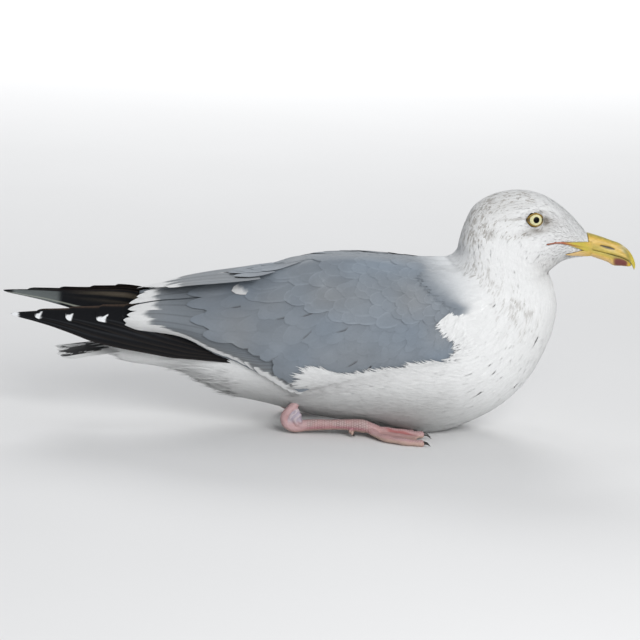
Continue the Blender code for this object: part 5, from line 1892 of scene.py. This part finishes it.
class GULL_OT_primaries(bpy.types.Operator):
    """Make the long black feathers of both wing tips"""

    bl_idname = "gull.primaries"
    bl_label = "Primaries"

    def execute(self, context):
        tone = tones()
        for side in SIDES:
            sheet = primary_sheet(side)
            tip_x = np.array((-283.5, -262.5, -234.5, -207, -184, -160)) - TIP_REACH[side]
            order = np.arange(len(tip_x))
            root_x = np.full(len(tip_x), -62)
            share = 0.43 + 0.055 * order
            width = np.array((35, 34, 32, 30, 28, 24))
            _, _, along, across = sheet.frame(root_x, share)
            length = (root_x - tip_x) * np.linalg.norm(along, axis=1)
            heading = -unit(along) + unit(across) * 0.01 * order[:, None]
            high = -1.6 + 0.95 * order
            layer = lay(
                sheet, (root_x, share), heading, length, width, primary_plan, high - 0.4, high,
                stations=84, strands=20, thick=0.5, camber=0.05, shaft=0.16, crowd=0.6,
                shaft_at=SIDES[side] * -0.7, ease=0.2,
            )
            layer["tint"] = self.painted(layer, tone, side)
            strip_unwrap(layer)
            plumage_piece(f"primary_stack_{side}", [layer], "black", [f"primaries_{side}"])
        return {"FINISHED"}

    @staticmethod
    def painted(layer, tone, side):
        """Outside: black with a brown upper rim, and a white drop near each tip: an oval
        with a tail that thins out along a line. Inside: a pale shaft near the lower edge,
        the white mirror before the tip painted dark grey as painted shade, and beige streaks
        towards the root."""
        c = layer["c"][None]
        lower = -SIDES[side] * c + 0 * layer["points"][..., 0]
        place = layer["points"][..., (0, 2)] + (TIP_REACH[side], -TIP_RISE[side])
        x = place[..., 0]
        rim = smooth(np.abs(lower), 0.86, 1)
        outer = mix(tone["black"], (0.03, 0.025, 0.022), 0.6 * rim)
        barbs = 0.5 + 0.5 * noise(np.stack([x, 0 * x, lower], axis=-1), 1.1, 14)
        top_edge = smooth(-lower, 0.66, 0.94) * smooth(x, -262, -250) * barbs
        outer = mix(outer, (0.075, 0.05, 0.036), 0.85 * top_edge)
        shaft = np.abs(lower - 0.7) < 0.04
        outer = mix(outer, (0.03, 0.032, 0.036), 0.6 * shaft)
        for i, (at, reach, end, thin) in enumerate(DROPS):
            gap, line = place[i] - at, np.subtract(end, at)
            way, run = unit(line), np.linalg.norm(line)
            blob = 1 - np.hypot(*(gap / reach).T).T
            along = dot(gap, way)
            beside = np.abs(gap[:, 0] * way[1] - gap[:, 1] * way[0])
            tail = 1 - beside / (thin * np.clip(1.05 - along / run, 0.01, 1)) - 9 * (along < 0)
            drop = smooth(np.maximum(blob, np.clip(tail, -1, 0.4)), -0.12, 0.16)
            outer[i] = mix(outer[i], (0.80, 0.815, 0.83), drop)
        grain = noise(place[..., (0, 1, 1)] * (0.1, 1, 0), 2, 9)
        streaks = smooth(np.sin(9 * c + 0.02 * x) + 0.6 * grain, -0.2, 0.9)
        streaks = streaks * smooth(x, -232, -170) * smooth(-lower, -0.3, 0.5)
        inner = mix(tone["black"] * 1.6, (0.20, 0.165, 0.12), 0.75 * streaks)
        # The mirror is white, but is painted dark grey here: painted shade on the wing's underside.
        mirror = smooth(x, -277, -272) * smooth(-x, 229, 235) * smooth(lower, -0.75, -0.55)
        inner = mix(inner, (0.165, 0.185, 0.185), 0.95 * mirror)
        inner = mix(inner, (0.42, 0.44, 0.38), 0.9 * shaft * smooth(x, -284, -276))
        return np.where(layer["side"][None, :, None] < 0, inner, outer)


# White drops on the primaries: x and z of the oval, its half-sizes, where its tail ends,
# and the tail's half-width.
DROPS = (
    ((-279.8, 98.6), (3.6, 3.2), (-279.5, 103), 2),
    ((-258.9, 97.6), (2.8, 2.5), (-255.4, 101.9), 1.7),
    ((-231.3, 97.1), (3.3, 2.8), (-226.9, 100.8), 2.2),
    ((-202, 95.6), (4.6, 3.5), (-195.4, 100.9), 2.5),
)


def primary_plan(s):
    """Half-width of a primary: narrow at its root, even, then tapered to a blunt tip."""
    taper = 1 - 0.48 * smooth(s, 0.5, 1)
    oval = np.clip((s - 0.965) / 0.035, 0, 1)
    return np.minimum(1, 0.55 + 1.4 * s) * taper * np.sqrt(1 - oval**2.4) + 0.004


# --- Tail ---


class GULL_OT_tail(bpy.types.Operator):
    """Make the tail feathers"""

    bl_idname = "gull.tail"
    bl_label = "Tail"

    def execute(self, context):
        tone, sheet = tones(), tail_sheet()
        rng = np.random.default_rng(SEEDS["tail"])
        side = np.linspace(-1, 1, 12)
        root_x, root_y = np.full(len(side), -163), 10 * side
        length = 78 - 5 * side**2 + np.resize((2.5, -2, 3, -3.5, 1), len(side))
        heading = np.stack([-length, 23.5 * side - root_y, 0 * side], axis=1)
        high = 1.4 - 3.4 * np.abs(side)
        layer = lay(
            sheet, (root_x, root_y), heading, length, 12.5, tail_plan, high - 0.6, high,
            stations=40, strands=12, thick=0.35, camber=0.06, shaft=0.15, crowd=0.7,
            bend=0.03 * rng.normal(size=len(side)), roll=0.03 * np.sign(side),
        )
        s, c = layer["s"][None], layer["c"][None]
        left = (1 - s) * length[:, None]
        points = layer["points"]
        ragged = noise(points * (0.10, 1, 1), 1.1, 31) - 0.5
        slant = 12 * (c * np.sign(side)[:, None] - 0.2)
        band = smooth(left + 16 * ragged - slant, 12, 13.5)
        band = band * smooth(slant - left + 26 * ragged, -56, -50)
        strength = np.interp(np.abs(side), (0, 0.2, 0.3, 0.56, 0.66, 0.8), (0.3, 0.8, 1, 1, 0.5, 0))
        band = band * (strength[:, None] > 0.9 * noise(points * (0.07, 1, 1), 1.6, 32))
        # Painted shade: the white feathers grow grey towards their roots, which lie under the wings.
        paint = mix(tone["white"], (0.55, 0.56, 0.56), 0.5 * smooth(left, 25, 75))
        layer["tint"] = mix(paint, tone["black"] * 1.2, 0.97 * band)
        strip_unwrap(layer)
        plumage_piece("tail_feathers", [layer], "white", ["tail"])
        return {"FINISHED"}


def tail_plan(s):
    """Half-width of a worn tail feather: even, then a short ragged point."""
    oval = np.clip((s - 0.88) / 0.12, 0, 1)
    return (1 - 0.10 * oval) * np.sqrt(1 - oval**1.6) + 0.006 + 0.05 * oval * np.sin(60 * s)


# --- Studio ---


def soft_light(name, place, aim, size, power_w):
    """A round lamp at a place, turned towards its aim."""
    data = bpy.data.lights.new(name, "AREA")
    data.shape, data.size, data.energy = "DISK", size, power_w
    obj = bpy.data.objects.new(name, data)
    bpy.context.scene.collection.objects.link(obj)
    obj.location = place
    obj.rotation_euler = (Vector(aim) - Vector(place)).to_track_quat("-Z", "Y").to_euler()


class GULL_OT_stage(bpy.types.Operator):
    """Set up the floor, the lights and the camera"""

    bl_idname = "gull.stage"
    bl_label = "Studio"

    def execute(self, context):
        across = np.linspace(-14, 14, 15)
        points = np.zeros((15, 15, 3))
        points[..., 0], points[..., 1] = np.meshgrid(across, across, indexing="ij")
        mesh = quad_mesh("studio_floor", points.reshape(-1, 3) / MM, grid_quads(15, 15, wrap=False))
        nodes = Nodes("studio_paper")
        shade = nodes.add("Mix", data_type="RGBA")
        shade.inputs[6].default_value = (0.74, 0.74, 0.74, 1)
        shade.inputs[7].default_value = (0.77, 0.77, 0.77, 1)
        nodes.link(nodes.noise(3), shade.inputs[0])
        mesh.materials.append(nodes.finish(None, shade.outputs[2], Roughness=0.9))
        floor = bpy.data.objects.new("studio_floor", mesh)
        context.scene.collection.objects.link(floor)

        world = bpy.data.worlds.new("studio_air")
        world.use_nodes = True
        world.node_tree.nodes["Background"].inputs["Color"].default_value = (0.95, 0.97, 1, 1)
        world.node_tree.nodes["Background"].inputs["Strength"].default_value = 0.41
        context.scene.world = world
        context.scene.view_settings.view_transform = "Standard"
        soft_light("key_light", (0.8, -2.1, 1.25), (0, 0, 0.1), 1.6, 46)
        soft_light("back_light", (-0.6, 1.2, 1.9), (0, 0, 0.12), 1.2, 5)
        soft_light("floor_light", (0, 4.6, 2.6), (0, 4.4, 0), 3, 170)

        azimuth, elevation, roll = radians(-4), radians(12), radians(2.6)
        target, distance, frame_width = (0, 0, 0.0975), 3, 0.5888
        data = bpy.data.cameras.new("camera")
        data.sensor_width = 36
        data.lens = data.sensor_width * distance / frame_width
        camera = bpy.data.objects.new("camera", data)
        context.scene.collection.objects.link(camera)
        turned = Matrix.Rotation(azimuth, 4, "Z") @ Matrix.Rotation(pi / 2 - elevation, 4, "X")
        turned = Matrix.Translation(target) @ turned @ Matrix.Rotation(roll, 4, "Z")
        camera.matrix_world = turned @ Matrix.Translation((0, 0, distance))
        context.scene.camera = camera
        return {"FINISHED"}


# --- Add-on ---

STEPS = (
    GULL_OT_skin,
    GULL_OT_eyes,
    GULL_OT_bill,
    GULL_OT_claws,
    GULL_OT_head_coat,
    GULL_OT_body_coat,
    GULL_OT_mantle,
    GULL_OT_wings,
    GULL_OT_primaries,
    GULL_OT_tail,
    GULL_OT_stage,
)


class GULL_PT_panel(bpy.types.Panel):
    """Settings and steps of the herring gull"""

    bl_label = "Herring gull"
    bl_idname = "GULL_PT_panel"
    bl_space_type = "VIEW_3D"
    bl_region_type = "UI"
    bl_category = "Gull"

    def draw(self, context):
        for group in (context.scene.gull_colours, context.scene.gull_sizes):
            box = self.layout.box()
            for key in group.__annotations__:
                box.prop(group, key)
        for step in STEPS:
            self.layout.operator(step.bl_idname)


CLASSES = (GullColours, GullSizes, *STEPS, GULL_PT_panel)


def register():
    for cls in CLASSES:
        bpy.utils.register_class(cls)
    bpy.types.Scene.gull_colours = bpy.props.PointerProperty(type=GullColours)
    bpy.types.Scene.gull_sizes = bpy.props.PointerProperty(type=GullSizes)


def unregister():
    del bpy.types.Scene.gull_sizes
    del bpy.types.Scene.gull_colours
    for cls in reversed(CLASSES):
        bpy.utils.unregister_class(cls)


def main():
    register()
    for step in STEPS:
        group, name = step.bl_idname.split(".")
        getattr(getattr(bpy.ops, group), name)()


if __name__ == "__main__":
    main()
